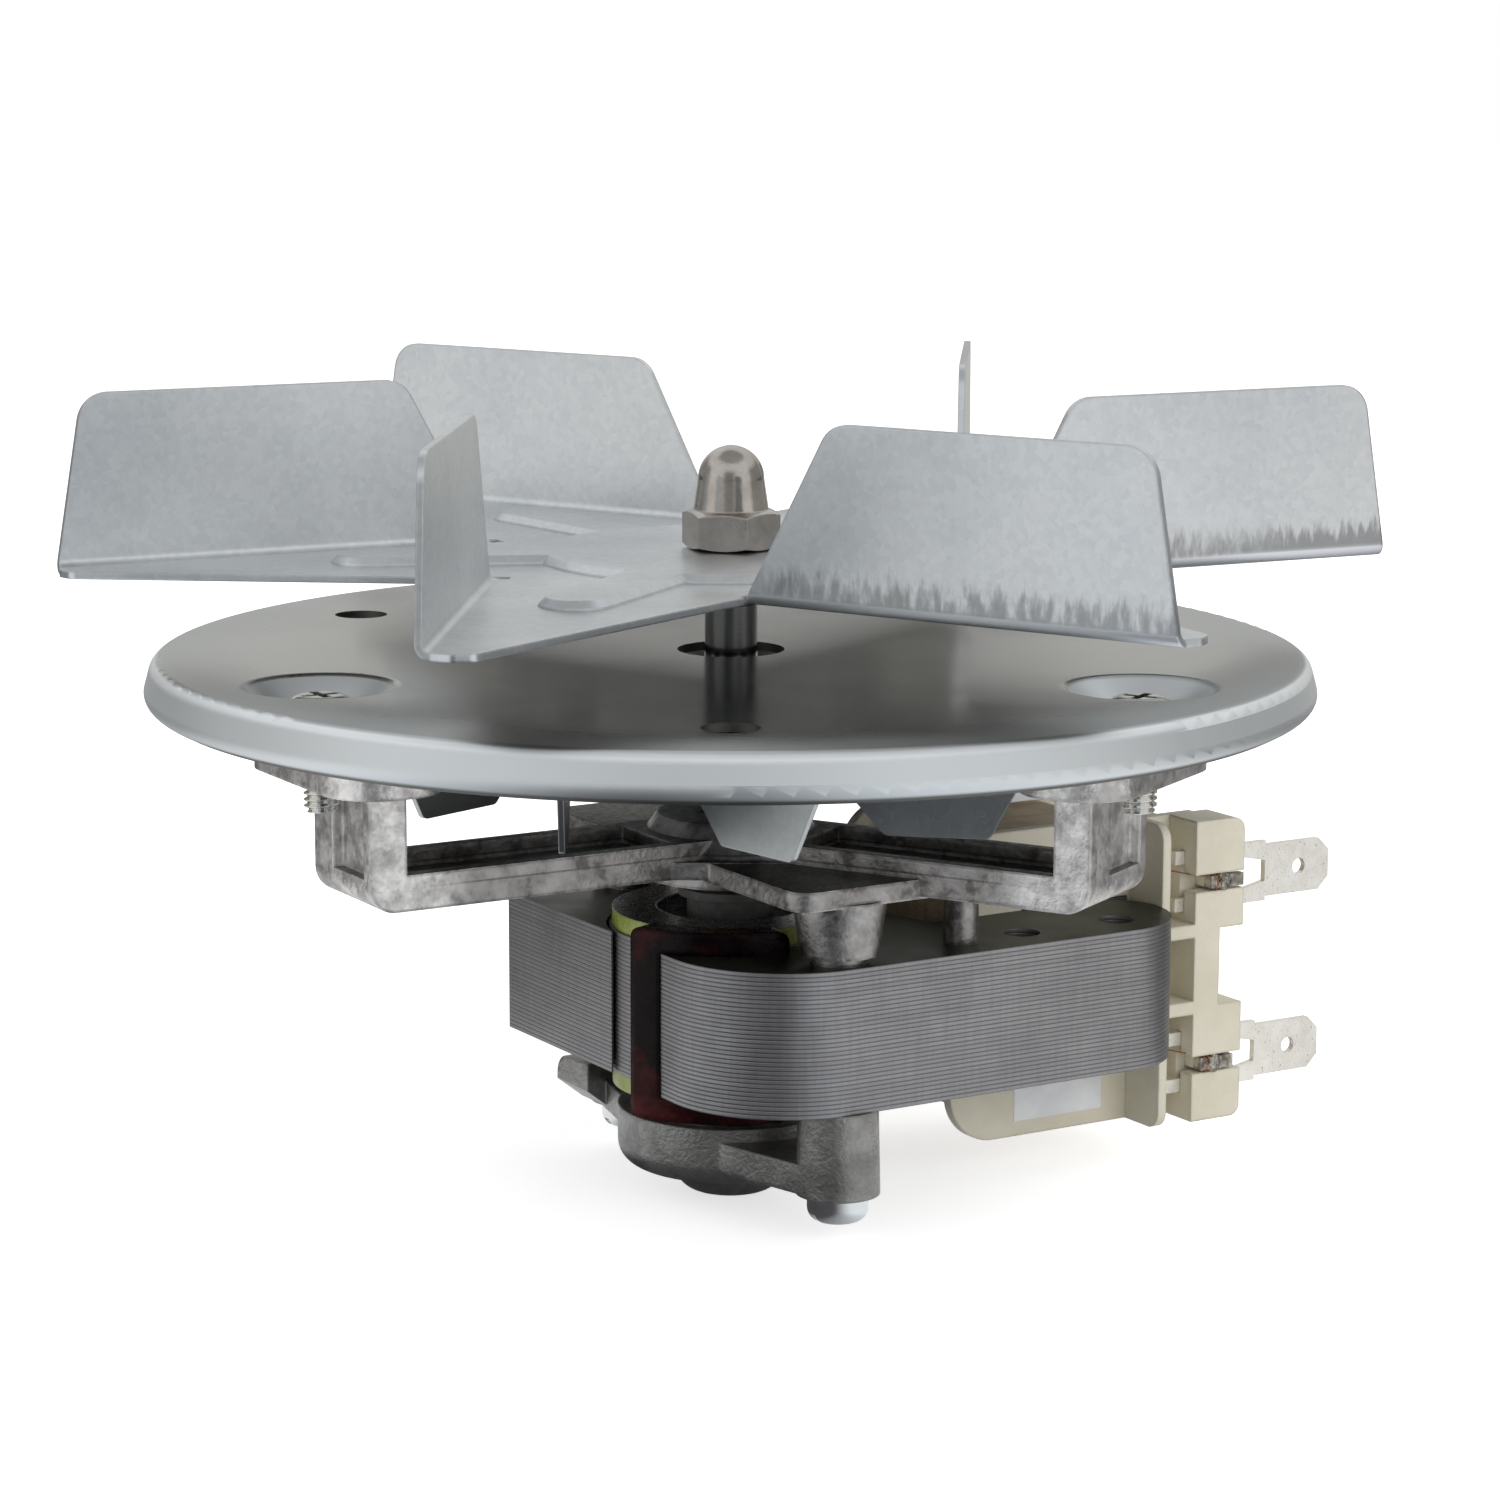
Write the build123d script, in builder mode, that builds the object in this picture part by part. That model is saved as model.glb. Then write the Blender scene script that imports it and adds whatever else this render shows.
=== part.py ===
from build123d import *
from math import atan2, cos, degrees, hypot, radians, sin, sqrt
import os

os.makedirs("parts", exist_ok=True)

# Oven fan motor: a six-blade impeller on the shaft of a shaded-pole motor that hangs
# under a round mounting disc. Millimetres, +Z along the shaft towards the impeller,
# origin on the shaft axis in the plane of the disc's upper face.

# Clearances
seat_gap = 0.05          # between fixed pieces that seat on each other
cut_past = 1.0           # how far a cutting block runs past the piece it cuts
press_gap = 0.02         # between a pressed-on piece and its shaft
running_gap = 0.03       # shaft to bearing bush, on the radius
end_gap = 0.15           # axial play between a thrust washer and a bush
free_gap = 0.6           # shaft to a hole it only passes through

# Shaft and cap nut
shaft_r = 3.0
flat_half = 2.5          # half the width across the two flats at the thread
thread_length = 9.6
nut_flats = 9.8
nut_hex_height = 4.5
nut_height = 11.7
nut_dome_r = 3.75
nut_neck_r = 4.25
nut_turn = 48.6          # direction of one corner, degrees
nut_chamfer = 0.55
nut_hole_spare = 0.4     # blind hole past the thread's end
shaft_chamfer = 0.5
groove_z = 5.3
groove_w = 0.6
groove_depth = 0.15

# Impeller, one folded sheet
sheet_t = 0.8
sheet_z = 9.7            # underside of the flat sheet
impeller_arms = 6
impeller_turn = 205.86   # direction of the first arm, degrees
blade_offset = 25.3      # blade mid-plane from the shaft axis
blade_height = 19.9      # blade top above the sheet's underside
blade_in_low = 18.9
blade_out_low = 71.0
blade_in_top = 29.7
blade_out_top = 67.65
blade_corner_r = 3.5
tip_reach = 71.7         # arm's end beyond the fold, along the arm
tip_width = 4.4          # arm's width there, from the fold
tip_corner_r = 1.2
tip_slant = 0.125        # outer tip corner's set-back, as a share of the arm's width
bend_r = 0.8             # inside radius of the bend
relief_w = 1.6
relief_l = 2.6
emboss_h = 1.0
emboss_slope = 0.8       # width of the emboss's sloping side
emboss_hub_r = 22.0
rib_w = 8.0
rib_reach = 41.0         # centre of the rib's round end
rib_turn = -19.0         # rib direction from its arm, degrees

# Mounting disc, one drawn sheet
disc_r = 66.4            # corner of the skirt and its lip before rounding
disc_t = 1.0
rim_drop = 5.4
rim_flare = 1.2          # how far the skirt leans out on its way down
rim_turn = 4.4           # height of the skirt above its inward lip
rim_lip = 1.9            # how far the lip turns back in
rim_r = 1.6              # outside radius of the rolled edge
disc_hole_r = 6.1
bolt_circle_r = 51.0
fixing_hole_r = 3.1
dimple_r = 8.25
dimple_floor_r = 4.3
dimple_depth = 3.0
dimple_round = 1.6       # rounded mouth of a dimple
spokes = 3
spoke_turn = 90.0        # direction of the first bracket leg, degrees

# Disc screws
screw_r = 2.0
screw_clear = 0.2
disc_head_r = 3.75
disc_head_h = 2.0
head_flat_r = 1.9        # flat middle of the domed head
head_mid_r = 3.25
head_mid_drop = 0.4
head_edge_drop = 1.1
cross_l = 4.5
cross_depth = 1.2
screw_point = 0.5        # chamfer at the thread's end
cross_w = 1.0
disc_screw_out = 3.4     # thread that stands out under the foot

# Front bracket, one die casting
foot_t = 6.4
foot_back = 2.9          # foot behind the leg's inner face
foot_front = 3.6         # foot beyond the bolt circle
foot_w = 29.0
foot_corner_r = 6.0
leg_set_in = 6.7         # leg's inner face inside the bolt circle
leg_t = 4.4
leg_w = 14.2
leg_depth = 13.9         # from the foot's underside to the arm's underside
leg_corner_r = 3.0
leg_recess = 1.2
recess_left = 4.8
recess_right = 1.6
recess_bottom = 3.7
arm_wall = 1.6
arm_floor = 2.0
arm_wall_h = 4.0
hub_flat = 12.0          # hub centre to its facets
cone_low_r = 11.0
cone_top_r = 8.4
cone_top = 5.6           # above the arm's underside
boss_r = 9.8
boss_drop = 1.7          # below the arm's underside
wing_low_a = -8.2
wing_high_a = 11.3
wing_reach = 28.0
wing_t = 2.2
wing_drop = 0.3
wing_corner_r = 2.5
pillar_r = 2.0
pillar_a = 17.0
pillar_b = 22.0

# Stator, in its own axes a and b turned about the shaft
stator_turn = 31.03
stack_top = -31.7
stack_h = 16.5
stack_half = 27.3
leg_inner = 12.2
stack_end = 47.3
stack_left = -15.0
far_left = -14.3
end_out_r = 9.5
end_in_r = 5.5
left_arc_r = 14.0
bore_r = 14.3
bridge_t = 0.7           # thin bridge left between the poles on the coil's side
pole_tip_b = 2.5
pole_face_a = 15.5       # outside of the pole behind the air gap
pole_root_a = 20.0       # where the pole meets the leg's inner edge
rivet_hole_r = 2.1
rivet_b = 21.7
rivet_a1 = 25.6
rivet_a2 = 38.8
post_b = 23.3            # stator screws from the shaft axis
boss_top_r = 5.3
boss_low_r = 4.4
spigot_r = 3.2
spigot_h = 1.0

# Shading rings
ring_in_r = 15.1
ring_bar = 3.0
ring_rise = 2.7
ring_from = 207.0        # direction of the outer bar, in the stator's axes
ring_to = 254.2
ring_corner_r = 1.3

# Rotor
air_gap = 0.4
end_ring_in_r = 8.5
end_ring_inset = 0.3
end_ring_h = 2.0
washer_t = 1.0
thrust_r = 6.0
spacer_r = 5.0
cage_bars = 15
bar_r = 1.1
bar_circle_r = 11.6

# Cooling fan, one folded sheet
fan_t = 0.7
fan_top = -8.4
fan_blades = 9
fan_turn = 310.0
fan_offset = 18.0
fan_drop = 8.8           # blade bottom under the sheet's top
fan_in_low = 20.3
fan_in_top = 12.5
fan_feet_gap = 0.55      # between the blades and the bracket's feet
fan_out_slant = 4.6      # how far a blade's outer end leans in
fan_tip_past = 0.8       # arm's end past its blade
fan_tip_width = 3.2
fan_bend_r = 0.7
fan_hub_r = 6.0
fan_hub_h = 5.4
fan_neck_r = 4.2
fan_stake = 0.7          # how far the hub's end is spread over the sheet
fan_corner_r = 1.0

# Bearings
bush_r = 5.6
bush_neck_r = 4.2
bush_barrel = 4.4
bush_neck = 1.7
bush_end_r = 4.6
felt_t = 1.2
retainer_t = 0.5
lip_t = 1.0

# Rear bracket, one die casting
rear_post_r = 4.75
rear_post_top_r = 4.5
rear_post_h = 9.8
cup_r = 13.0
cup_drop = 4.7           # cup rim below the stack
cup_h = 6.9
cup_wall = 1.5
cup_corner_r = 2.6
cup_well = 5.0
dome_r = 6.5
dome_h = 3.4
dome_round = 3.0
rear_arm_w = 9.0         # arm's width at a post
rear_arm_mid = 20.6      # arm's width through the cup's middle
rear_arm_t = 3.4
rear_arm_drop = 6.2      # arm's top below the stack
lug_reach = 8.0          # lug's end from the post's axis
lug_w = 7.4
lug_drop = 3.8           # lug's top below the stack
lug_h = 3.3              # at its end
lug_slope = 3.4          # length of its slanted underside
lug_round = 2.6

# Stator screws
stator_head_r = 3.45
stator_head_h = 3.2
stator_head_round = 1.6
screw_cover = 1.2        # metal left over the screw's end in the front boss
screw_spare = 0.4        # threaded hole past the screw's end
slot_w = 1.1
slot_depth = 1.1

# Coil and its moulded former
core_w = 15.0
former_wall = 1.0
flange_t = 1.4
flange_low_a = 22.5
flange_high_a = 56.6
flange_top = -22.2
flange_low = -58.8
flange_corner_r = 6.0
winding_edge = 1.9       # winding's edge inside the flange's edge
tape_t = 0.4
fin_gap = 0.35           # fin past the stack's end
fin_t = 1.15
fin_b = 18.7
fin_corner_r = 2.0
block_depth = 5.7
spine_in_a = 52.5
spine_out_a = 56.2
block_out_a = 59.6
upper_top = -22.2
upper_low = -35.3
lower_top = -44.6
lower_low = -58.5
upper_corner_r = 1.6
lower_corner_r = 1.3
shelf_t = 1.6
pocket_floor = 1.2       # wall left behind the pockets

# Terminals, 6.3 mm tabs
tab_w = 6.3
tab_t = 0.8
tab_b = 16.0
tab_tip_a = 74.1
tab_chamfer = 1.5
shoulder_w = 7.3
shoulder_a = 64.6
window_a1 = 60.3
window_a2 = 64.5
window_h1 = 4.2
window_h2 = 2.5
tab_hole_r = 0.95
tab_hole_back = 4.5
prong_in_a = 51.2
prong_w = 1.6
post_in_a = 54.8
wire_post_w = 1.5
wire_post_t = 1.0
groove_half = 1.05       # half the height of the groove that holds the wire post
tab_z_upper = -29.7
tab_z_lower = -51.65
lower_set_in = 1.0       # how much deeper the lower terminal sits in its block

# Label on the former
label_a1 = 31.5
label_a2 = 44.0
label_low = -57.0
label_top = -48.8
label_t = 0.08

# Heights that follow from the values above
foot_top = -(dimple_depth + disc_t)
foot_low = foot_top - foot_t
arm_low = foot_low - leg_depth
leg_in_r = bolt_circle_r - leg_set_in
leg_out_r = leg_in_r + leg_t
foot_in_r = leg_in_r - foot_back
foot_out_r = bolt_circle_r + foot_front
stack_low = stack_top - stack_h
boss_low = arm_low - boss_drop
emboss_top = sheet_z + sheet_t + emboss_h
thread_top = sheet_z + thread_length
nut_top = emboss_top + nut_height
post_low = stack_low - rear_post_h
cup_top = stack_low - cup_drop
cup_low = cup_top - cup_h
dome_low = cup_low - dome_h
arm_rear_top = stack_low - rear_arm_drop
fan_r = foot_in_r - fan_feet_gap
fan_out_top = sqrt(fan_r**2 - (fan_offset + fan_t / 2) ** 2)
fan_out_low = fan_out_top - fan_out_slant
fan_tip_reach = fan_out_top + fan_tip_past
ring_out_r = ring_in_r + ring_bar
rotor_r = bore_r - air_gap
core_a1 = stack_end - core_w
core_a2 = stack_end
fin_a = stack_end + fin_gap
pocket_r = bush_r + seat_gap

# Front bearing, from the lip down
front_lip_low = arm_low + cone_top - lip_t
front_felt_low = front_lip_low - seat_gap - felt_t
front_bush_top = front_felt_low - seat_gap
front_bush_low = front_bush_top - bush_barrel - bush_neck
front_clip_top = front_bush_top - bush_barrel - seat_gap

# Rear bearing, from the floor of its pocket up
rear_floor = cup_low + lip_t
rear_felt_top = rear_floor + seat_gap + felt_t
rear_bush_low = rear_felt_top + seat_gap
rear_bush_top = rear_bush_low + bush_barrel + bush_neck
rear_clip_low = rear_bush_low + bush_barrel + seat_gap
shaft_low = cup_low - dome_h / 2
screw_end = arm_low - wing_drop + wing_t - screw_cover - screw_spare
lug_top = stack_low - lug_drop
tip_half_angle = degrees((ring_bar / 2 + 2 * seat_gap) / ring_in_r)

stator_plane = Plane.XY.rotated((0, 0, stator_turn))


def save(piece, name):
    """Label a finished piece and write it under its node's name."""
    piece.part.label = name
    export_step(piece.part, "parts/" + name + ".step")


def at_height(z):
    """A horizontal plane in the stator's axes at height z."""
    return stator_plane.offset(z)


def side_plane(b):
    """An upright plane across the stator's b axis: x is a, y is height, normal towards -b."""
    turn = radians(stator_turn)
    origin = (-b * sin(turn), b * cos(turn), 0)
    return Plane(origin=origin, x_dir=(cos(turn), sin(turn), 0), z_dir=(sin(turn), -cos(turn), 0))


def folded_blade(offset, t, z, up, inside_r, low_in, low_out, top_in, top_out, height, corner_r):
    """One blade bent out of a flat sheet, for an arm that points along +X.

    z is the sheet's face on the side away from the blade, up is 1 or -1.
    """
    outside_r = inside_r + t
    face = -offset - t / 2
    with BuildPart() as blade:
        with BuildSketch(Plane.YZ.offset(low_in)):
            with BuildLine():
                near = Line((face + outside_r, z), (face + outside_r, z + up * t))
                inner = JernArc(near @ 1, (-1, 0), inside_r, -90 * up)
                side = Line(inner @ 1, (face + t, z + up * height))
                top = Line(side @ 1, (face, z + up * height))
                back = Line(top @ 1, (face, z + up * outside_r))
                JernArc(back @ 1, (0, -up), outside_r, 90 * up)
            make_face()
        extrude(amount=low_out - low_in)
        with BuildSketch(Plane.XZ.offset(-face - t)):
            with BuildLine():
                Polyline(
                    (low_in, z),
                    (low_out, z),
                    (top_out, z + up * height),
                    (top_in, z + up * height),
                    close=True,
                )
            make_face()
            free_end = vertices().filter_by(lambda v: abs(v.Y - z - up * height) < 0.01)
            fillet(free_end, corner_r)
        extrude(amount=t + outside_r, both=True, mode=Mode.INTERSECT)
    return blade


# Impeller: galvanised sheet, a six-armed plate with an embossed star and a blade
# folded up along one edge of every arm
impeller_blade = folded_blade(
    blade_offset, sheet_t, sheet_z, 1, bend_r,
    blade_in_low, blade_out_low, blade_in_top, blade_out_top, blade_height, blade_corner_r,
)
fold_line = -blade_offset - sheet_t / 2 + bend_r + sheet_t


def turned(x, y, angle):
    """A point turned about the shaft axis by an angle in degrees."""
    c = cos(radians(angle))
    s = sin(radians(angle))
    return (x * c - y * s, x * s + y * c)


def arm_outline(arms, fold, inner, outer, reach, width):
    """Corners of the flat plate, arm after arm: fold line, then the round tip."""
    corners = []
    for index in range(arms):
        step = 360 / arms * index
        corners.append(turned(inner, fold, step))
        corners.append(turned(outer, fold, step))
        corners.append(turned(reach, fold + width / 2, step))
        corners.append(turned(reach - tip_slant * width, fold + width, step))
    return corners


def arm_tips(corners, arms, fold, reach, width):
    """The two corners at the end of every arm."""
    tips = []
    for index in range(arms):
        tips.append(turned(reach, fold + width / 2, 360 / arms * index))
        tips.append(turned(reach - tip_slant * width, fold + width, 360 / arms * index))
    return corners.filter_by(lambda v: min(hypot(v.X - x, v.Y - y) for x, y in tips) < 0.01)


with BuildSketch(Plane.XY) as star:
    Circle(emboss_hub_r)
    with PolarLocations(0, impeller_arms, start_angle=rib_turn):
        with Locations((rib_reach / 2, 0)):
            SlotCenterToCenter(rib_reach, rib_w)

with BuildPart() as impeller:
    with BuildSketch(Plane.XY.offset(sheet_z)):
        with BuildLine():
            Polyline(
                *arm_outline(impeller_arms, fold_line, blade_in_low, blade_out_low, tip_reach, tip_width),
                close=True,
            )
        make_face()
        fillet(arm_tips(vertices(), impeller_arms, fold_line, tip_reach, tip_width), tip_corner_r)
        with PolarLocations(0, impeller_arms):
            with Locations((blade_in_low, fold_line)):
                Rectangle(relief_w, relief_l, mode=Mode.SUBTRACT)
    extrude(amount=sheet_t)
    with PolarLocations(0, impeller_arms):
        add(impeller_blade.part)
    with BuildSketch(Plane.XY.offset(sheet_z + sheet_t)):
        add(star.sketch)
    extrude(amount=emboss_h)
    rim = edges().filter_by(lambda e: e.bounding_box().min.Z > emboss_top - 0.01 and hypot(
        e.center().X, e.center().Y) < rib_reach + rib_w)
    chamfer(rim.filter_by(lambda e: e.bounding_box().max.Z < emboss_top + 0.01), emboss_slope)
    with BuildSketch(Plane.XY.offset(sheet_z)):
        add(star.sketch)
        offset(amount=-sheet_t / 2, mode=Mode.REPLACE)
    extrude(amount=emboss_h, mode=Mode.SUBTRACT)
    with BuildSketch(Plane.XY.offset(sheet_z)):
        Circle(shaft_r + seat_gap)
        Rectangle(4 * shaft_r, 2 * (flat_half + seat_gap), mode=Mode.INTERSECT)
    extrude(amount=2 * sheet_t + emboss_h, mode=Mode.SUBTRACT)
impeller.part = impeller.part.rotate(Axis.Z, impeller_turn)
save(impeller, "impeller")


# Acorn nut: nickelled domed nut that clamps the impeller
with BuildPart() as acorn_nut:
    with BuildSketch(Plane.XY.offset(emboss_top)):
        RegularPolygon(nut_flats / 2, 6, major_radius=False, rotation=nut_turn)
    extrude(amount=nut_hex_height)
    with BuildSketch(Plane.XZ):
        with BuildLine():
            corner_r = nut_flats / 2 / cos(radians(30))
            foot = Line((0, emboss_top), (nut_flats / 2 - nut_chamfer, emboss_top))
            low = Line(foot @ 1, (corner_r, emboss_top + nut_chamfer))
            wall = Line(low @ 1, (corner_r, emboss_top + nut_hex_height - nut_chamfer))
            Polyline(
                wall @ 1,
                (nut_flats / 2 - nut_chamfer, emboss_top + nut_hex_height),
                (0, emboss_top + nut_hex_height),
                foot @ 0,
            )
        make_face()
    revolve(axis=Axis.Z, mode=Mode.INTERSECT)
    with BuildSketch(Plane.XZ):
        with BuildLine():
            seat = Line((0, emboss_top + nut_hex_height), (nut_neck_r, emboss_top + nut_hex_height))
            flare = Line(seat @ 1, (nut_dome_r, nut_top - nut_dome_r))
            crown = JernArc(flare @ 1, (0, 1), nut_dome_r, 90)
            Line(crown @ 1, seat @ 0)
        make_face()
    revolve(axis=Axis.Z)
    with BuildSketch(Plane.XY.offset(emboss_top)):
        Circle(shaft_r + seat_gap)
    extrude(amount=thread_top - emboss_top + nut_hole_spare, mode=Mode.SUBTRACT)
save(acorn_nut, "acorn_nut")


# Shaft: ground steel, with two flats and the thread at the impeller's end
with BuildPart() as motor_shaft:
    with BuildSketch(Plane.XZ):
        with BuildLine():
            Polyline(
                (0, shaft_low),
                (shaft_r - shaft_chamfer, shaft_low),
                (shaft_r, shaft_low + shaft_chamfer),
                (shaft_r, groove_z),
                (shaft_r - groove_depth, groove_z),
                (shaft_r - groove_depth, groove_z + groove_w),
                (shaft_r, groove_z + groove_w),
                (shaft_r, thread_top - shaft_chamfer),
                (shaft_r - shaft_chamfer, thread_top),
                (0, thread_top),
                close=True,
            )
        make_face()
    revolve(axis=Axis.Z)
    with BuildSketch(Plane.XY.offset(sheet_z).rotated((0, 0, impeller_turn))):
        with GridLocations(0, 4 * flat_half + 2 * shaft_r, 1, 2):
            Rectangle(4 * shaft_r, 2 * flat_half + 2 * shaft_r)
    extrude(amount=thread_length + seat_gap, mode=Mode.SUBTRACT)
save(motor_shaft, "motor_shaft")


# Mounting disc: galvanised sheet with a rolled edge, a shaft hole, three fixing holes
# and three dimples that seat on the bracket's feet
dimple_slope = (dimple_r - dimple_floor_r) / dimple_depth
dimple_shift = disc_t * sqrt(1 + dimple_slope**2)
with BuildPart() as dimple_under:
    with BuildSketch(Plane.XZ):
        with BuildLine():
            Polyline(
                (0, -disc_t / 2),
                (dimple_r + dimple_shift - dimple_slope * disc_t / 2, -disc_t / 2),
                (dimple_floor_r + dimple_shift - dimple_slope * disc_t, foot_top),
                (0, foot_top),
                close=True,
            )
        make_face()
    revolve(axis=Axis.Z)
with BuildPart() as dimple_bowl:
    with BuildSketch(Plane.XZ):
        with BuildLine():
            Polyline(
                (0, disc_t),
                (dimple_r, disc_t),
                (dimple_r, 0),
                (dimple_floor_r, -dimple_depth),
                (0, -dimple_depth),
                close=True,
            )
        make_face()
    revolve(axis=Axis.Z)

with BuildPart() as mounting_disc:
    with BuildSketch(Plane.XZ):
        with BuildLine():
            FilletPolyline(
                (disc_hole_r, 0),
                (disc_r - rim_flare, 0),
                (disc_r, -rim_turn),
                (disc_r - rim_lip, -rim_drop),
                radius=rim_r,
            )
            offset(amount=disc_t, side=Side.RIGHT)
        make_face()
    revolve(axis=Axis.Z)
    with PolarLocations(bolt_circle_r, spokes, start_angle=spoke_turn):
        add(dimple_under.part)
        add(dimple_bowl.part, mode=Mode.SUBTRACT)
        Hole(screw_r + screw_clear)
    with PolarLocations(bolt_circle_r, spokes, start_angle=spoke_turn + 180 / spokes):
        Hole(fixing_hole_r)
    mouths = edges().filter_by(GeomType.CIRCLE).filter_by(
        lambda e: abs(e.radius - dimple_r) < 0.01 and abs(e.center().Z) < 0.01)
    fillet(mouths, dimple_round)
save(mounting_disc, "mounting_disc")


# Disc screws: three cross-recessed screws through the dimples into the feet
with BuildPart() as disc_screw:
    with BuildSketch(Plane.XZ):
        with BuildLine():
            top = -dimple_depth + disc_head_h
            seat = Line((0, top), (head_flat_r, top))
            crown = ThreePointArc(
                seat @ 1,
                (head_mid_r, top - head_mid_drop),
                (disc_head_r, top - head_edge_drop),
            )
            Polyline(
                crown @ 1,
                (disc_head_r, -dimple_depth),
                (screw_r, -dimple_depth),
                (screw_r, foot_low - disc_screw_out + screw_point),
                (screw_r - screw_point, foot_low - disc_screw_out),
                (0, foot_low - disc_screw_out),
                seat @ 0,
            )
        make_face()
    revolve(axis=Axis.Z)
    with BuildSketch(Plane.XY.offset(top)):
        Rectangle(cross_l, cross_w)
        Rectangle(cross_w, cross_l)
    extrude(amount=-cross_depth, mode=Mode.SUBTRACT)

with BuildPart() as disc_screws:
    with PolarLocations(bolt_circle_r, spokes, start_angle=spoke_turn):
        add(disc_screw.part)
save(disc_screws, "disc_screws")


# Front bracket: one die casting with three legs, channelled arms, a bearing hub and
# two wings that carry the stator on tapered bosses
with BuildPart() as spoke:
    with BuildSketch(Plane.XY.offset(arm_low)):
        Rectangle(leg_out_r, leg_w, align=(Align.MIN, Align.CENTER))
    extrude(amount=arm_wall_h)
    with BuildSketch(Plane.XY.offset(arm_low + arm_floor)):
        with Locations((cone_low_r, 0)):
            Rectangle(leg_in_r - cone_low_r, leg_w - 2 * arm_wall, align=(Align.MIN, Align.CENTER))
    extrude(amount=arm_wall_h, mode=Mode.SUBTRACT)
    with BuildSketch(Plane.XY.offset(arm_low)):
        with Locations((leg_in_r, 0)):
            Rectangle(leg_t, leg_w, align=(Align.MIN, Align.CENTER))
    extrude(amount=leg_depth)
    toe = edges().filter_by(Axis.Y).group_by(Axis.Z)[0].sort_by(Axis.X)[-1]
    fillet(toe, leg_corner_r)
    with BuildSketch(Plane.YZ.offset(leg_out_r)):
        with Locations((recess_left - leg_w / 2, arm_low + recess_bottom)):
            Rectangle(
                leg_w - recess_left - recess_right,
                leg_depth,
                align=(Align.MIN, Align.MIN),
            )
    extrude(amount=-leg_recess, mode=Mode.SUBTRACT)
    with BuildSketch(Plane.XY.offset(foot_low)):
        with Locations(((foot_in_r + foot_out_r) / 2, 0)):
            Rectangle(foot_out_r - foot_in_r, foot_w)
        fillet(vertices(), foot_corner_r)
    extrude(amount=foot_t - seat_gap)
    with BuildSketch(Plane.XY.offset(foot_low)):
        with Locations((bolt_circle_r, 0)):
            Circle(screw_r + seat_gap)
    extrude(amount=foot_t, mode=Mode.SUBTRACT)

with BuildPart() as front_bracket:
    with PolarLocations(0, spokes, start_angle=spoke_turn):
        add(spoke.part)
    with BuildSketch(Plane.XY.offset(arm_low)):
        RegularPolygon(hub_flat, 6, major_radius=False)
    extrude(amount=arm_floor)
    with BuildSketch(Plane.XZ):
        with BuildLine():
            Polyline(
                (0, boss_low),
                (boss_r, boss_low),
                (boss_r, arm_low),
                (cone_low_r, arm_low + arm_floor),
                (cone_top_r, arm_low + cone_top),
                (0, arm_low + cone_top),
                close=True,
            )
        make_face()
    revolve(axis=Axis.Z)
    with BuildSketch(at_height(arm_low - wing_drop)):
        with Locations(((wing_low_a + wing_high_a) / 2, 0)):
            Rectangle(wing_high_a - wing_low_a, 2 * wing_reach)
        fillet(vertices(), wing_corner_r)
    extrude(amount=wing_t)
    with BuildSketch(at_height(stack_top + spigot_h)):
        with GridLocations(0, 2 * post_b, 1, 2):
            Circle(boss_low_r)
    extrude(
        amount=arm_low - stack_top - spigot_h,
        taper=-degrees(atan2(boss_top_r - boss_low_r, arm_low - stack_top - spigot_h)),
    )
    with BuildSketch(at_height(stack_top)):
        with GridLocations(0, 2 * post_b, 1, 2):
            Circle(spigot_r)
        with Locations((pillar_a, -pillar_b), (pillar_a, pillar_b)):
            Circle(pillar_r)
    extrude(amount=arm_low - stack_top)
    with BuildSketch(Plane.XY.offset(boss_low)):
        Circle(pocket_r)
    extrude(amount=front_lip_low - boss_low, mode=Mode.SUBTRACT)
    with BuildSketch(Plane.XY.offset(boss_low)):
        Circle(shaft_r + free_gap)
    extrude(amount=2 * cone_top, mode=Mode.SUBTRACT)
    with BuildSketch(at_height(stack_top)):
        with GridLocations(0, 2 * post_b, 1, 2):
            Circle(screw_r + seat_gap)
    extrude(amount=screw_end + screw_spare - stack_top, mode=Mode.SUBTRACT)
save(front_bracket, "front_bracket")


def bush(z, up):
    """Sintered self-aligning bush: z is the barrel's end, the neck points along up."""
    with BuildPart() as piece:
        with BuildSketch(Plane.XZ):
            with BuildLine():
                start = (shaft_r + running_gap, z)
                end_face = Line(start, (bush_end_r, z))
                barrel = ThreePointArc(
                    end_face @ 1,
                    (bush_r, z + up * bush_barrel / 2),
                    (bush_neck_r, z + up * bush_barrel),
                )
                Polyline(
                    barrel @ 1,
                    (bush_neck_r, z + up * (bush_barrel + bush_neck)),
                    (shaft_r + running_gap, z + up * (bush_barrel + bush_neck)),
                    start,
                )
            make_face()
        revolve(axis=Axis.Z)
    return piece


def washer(inner_r, outer_r, z, thickness):
    """A flat ring about the shaft from z upwards."""
    with BuildPart() as piece:
        with BuildSketch(Plane.XY.offset(z)):
            Circle(outer_r)
            Circle(inner_r, mode=Mode.SUBTRACT)
        extrude(amount=thickness)
    return piece


# Front bearing: bush, oiled felt above it and the spring clip that holds it
front_bearing = bush(front_bush_top, -1)
save(front_bearing, "front_bearing")
front_oil_felt = washer(shaft_r + free_gap, bush_r, front_felt_low, felt_t)
save(front_oil_felt, "front_oil_felt")
front_bearing_clip = washer(
    bush_neck_r + seat_gap, bush_r, front_clip_top - retainer_t, retainer_t)
save(front_bearing_clip, "front_bearing_clip")

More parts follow.
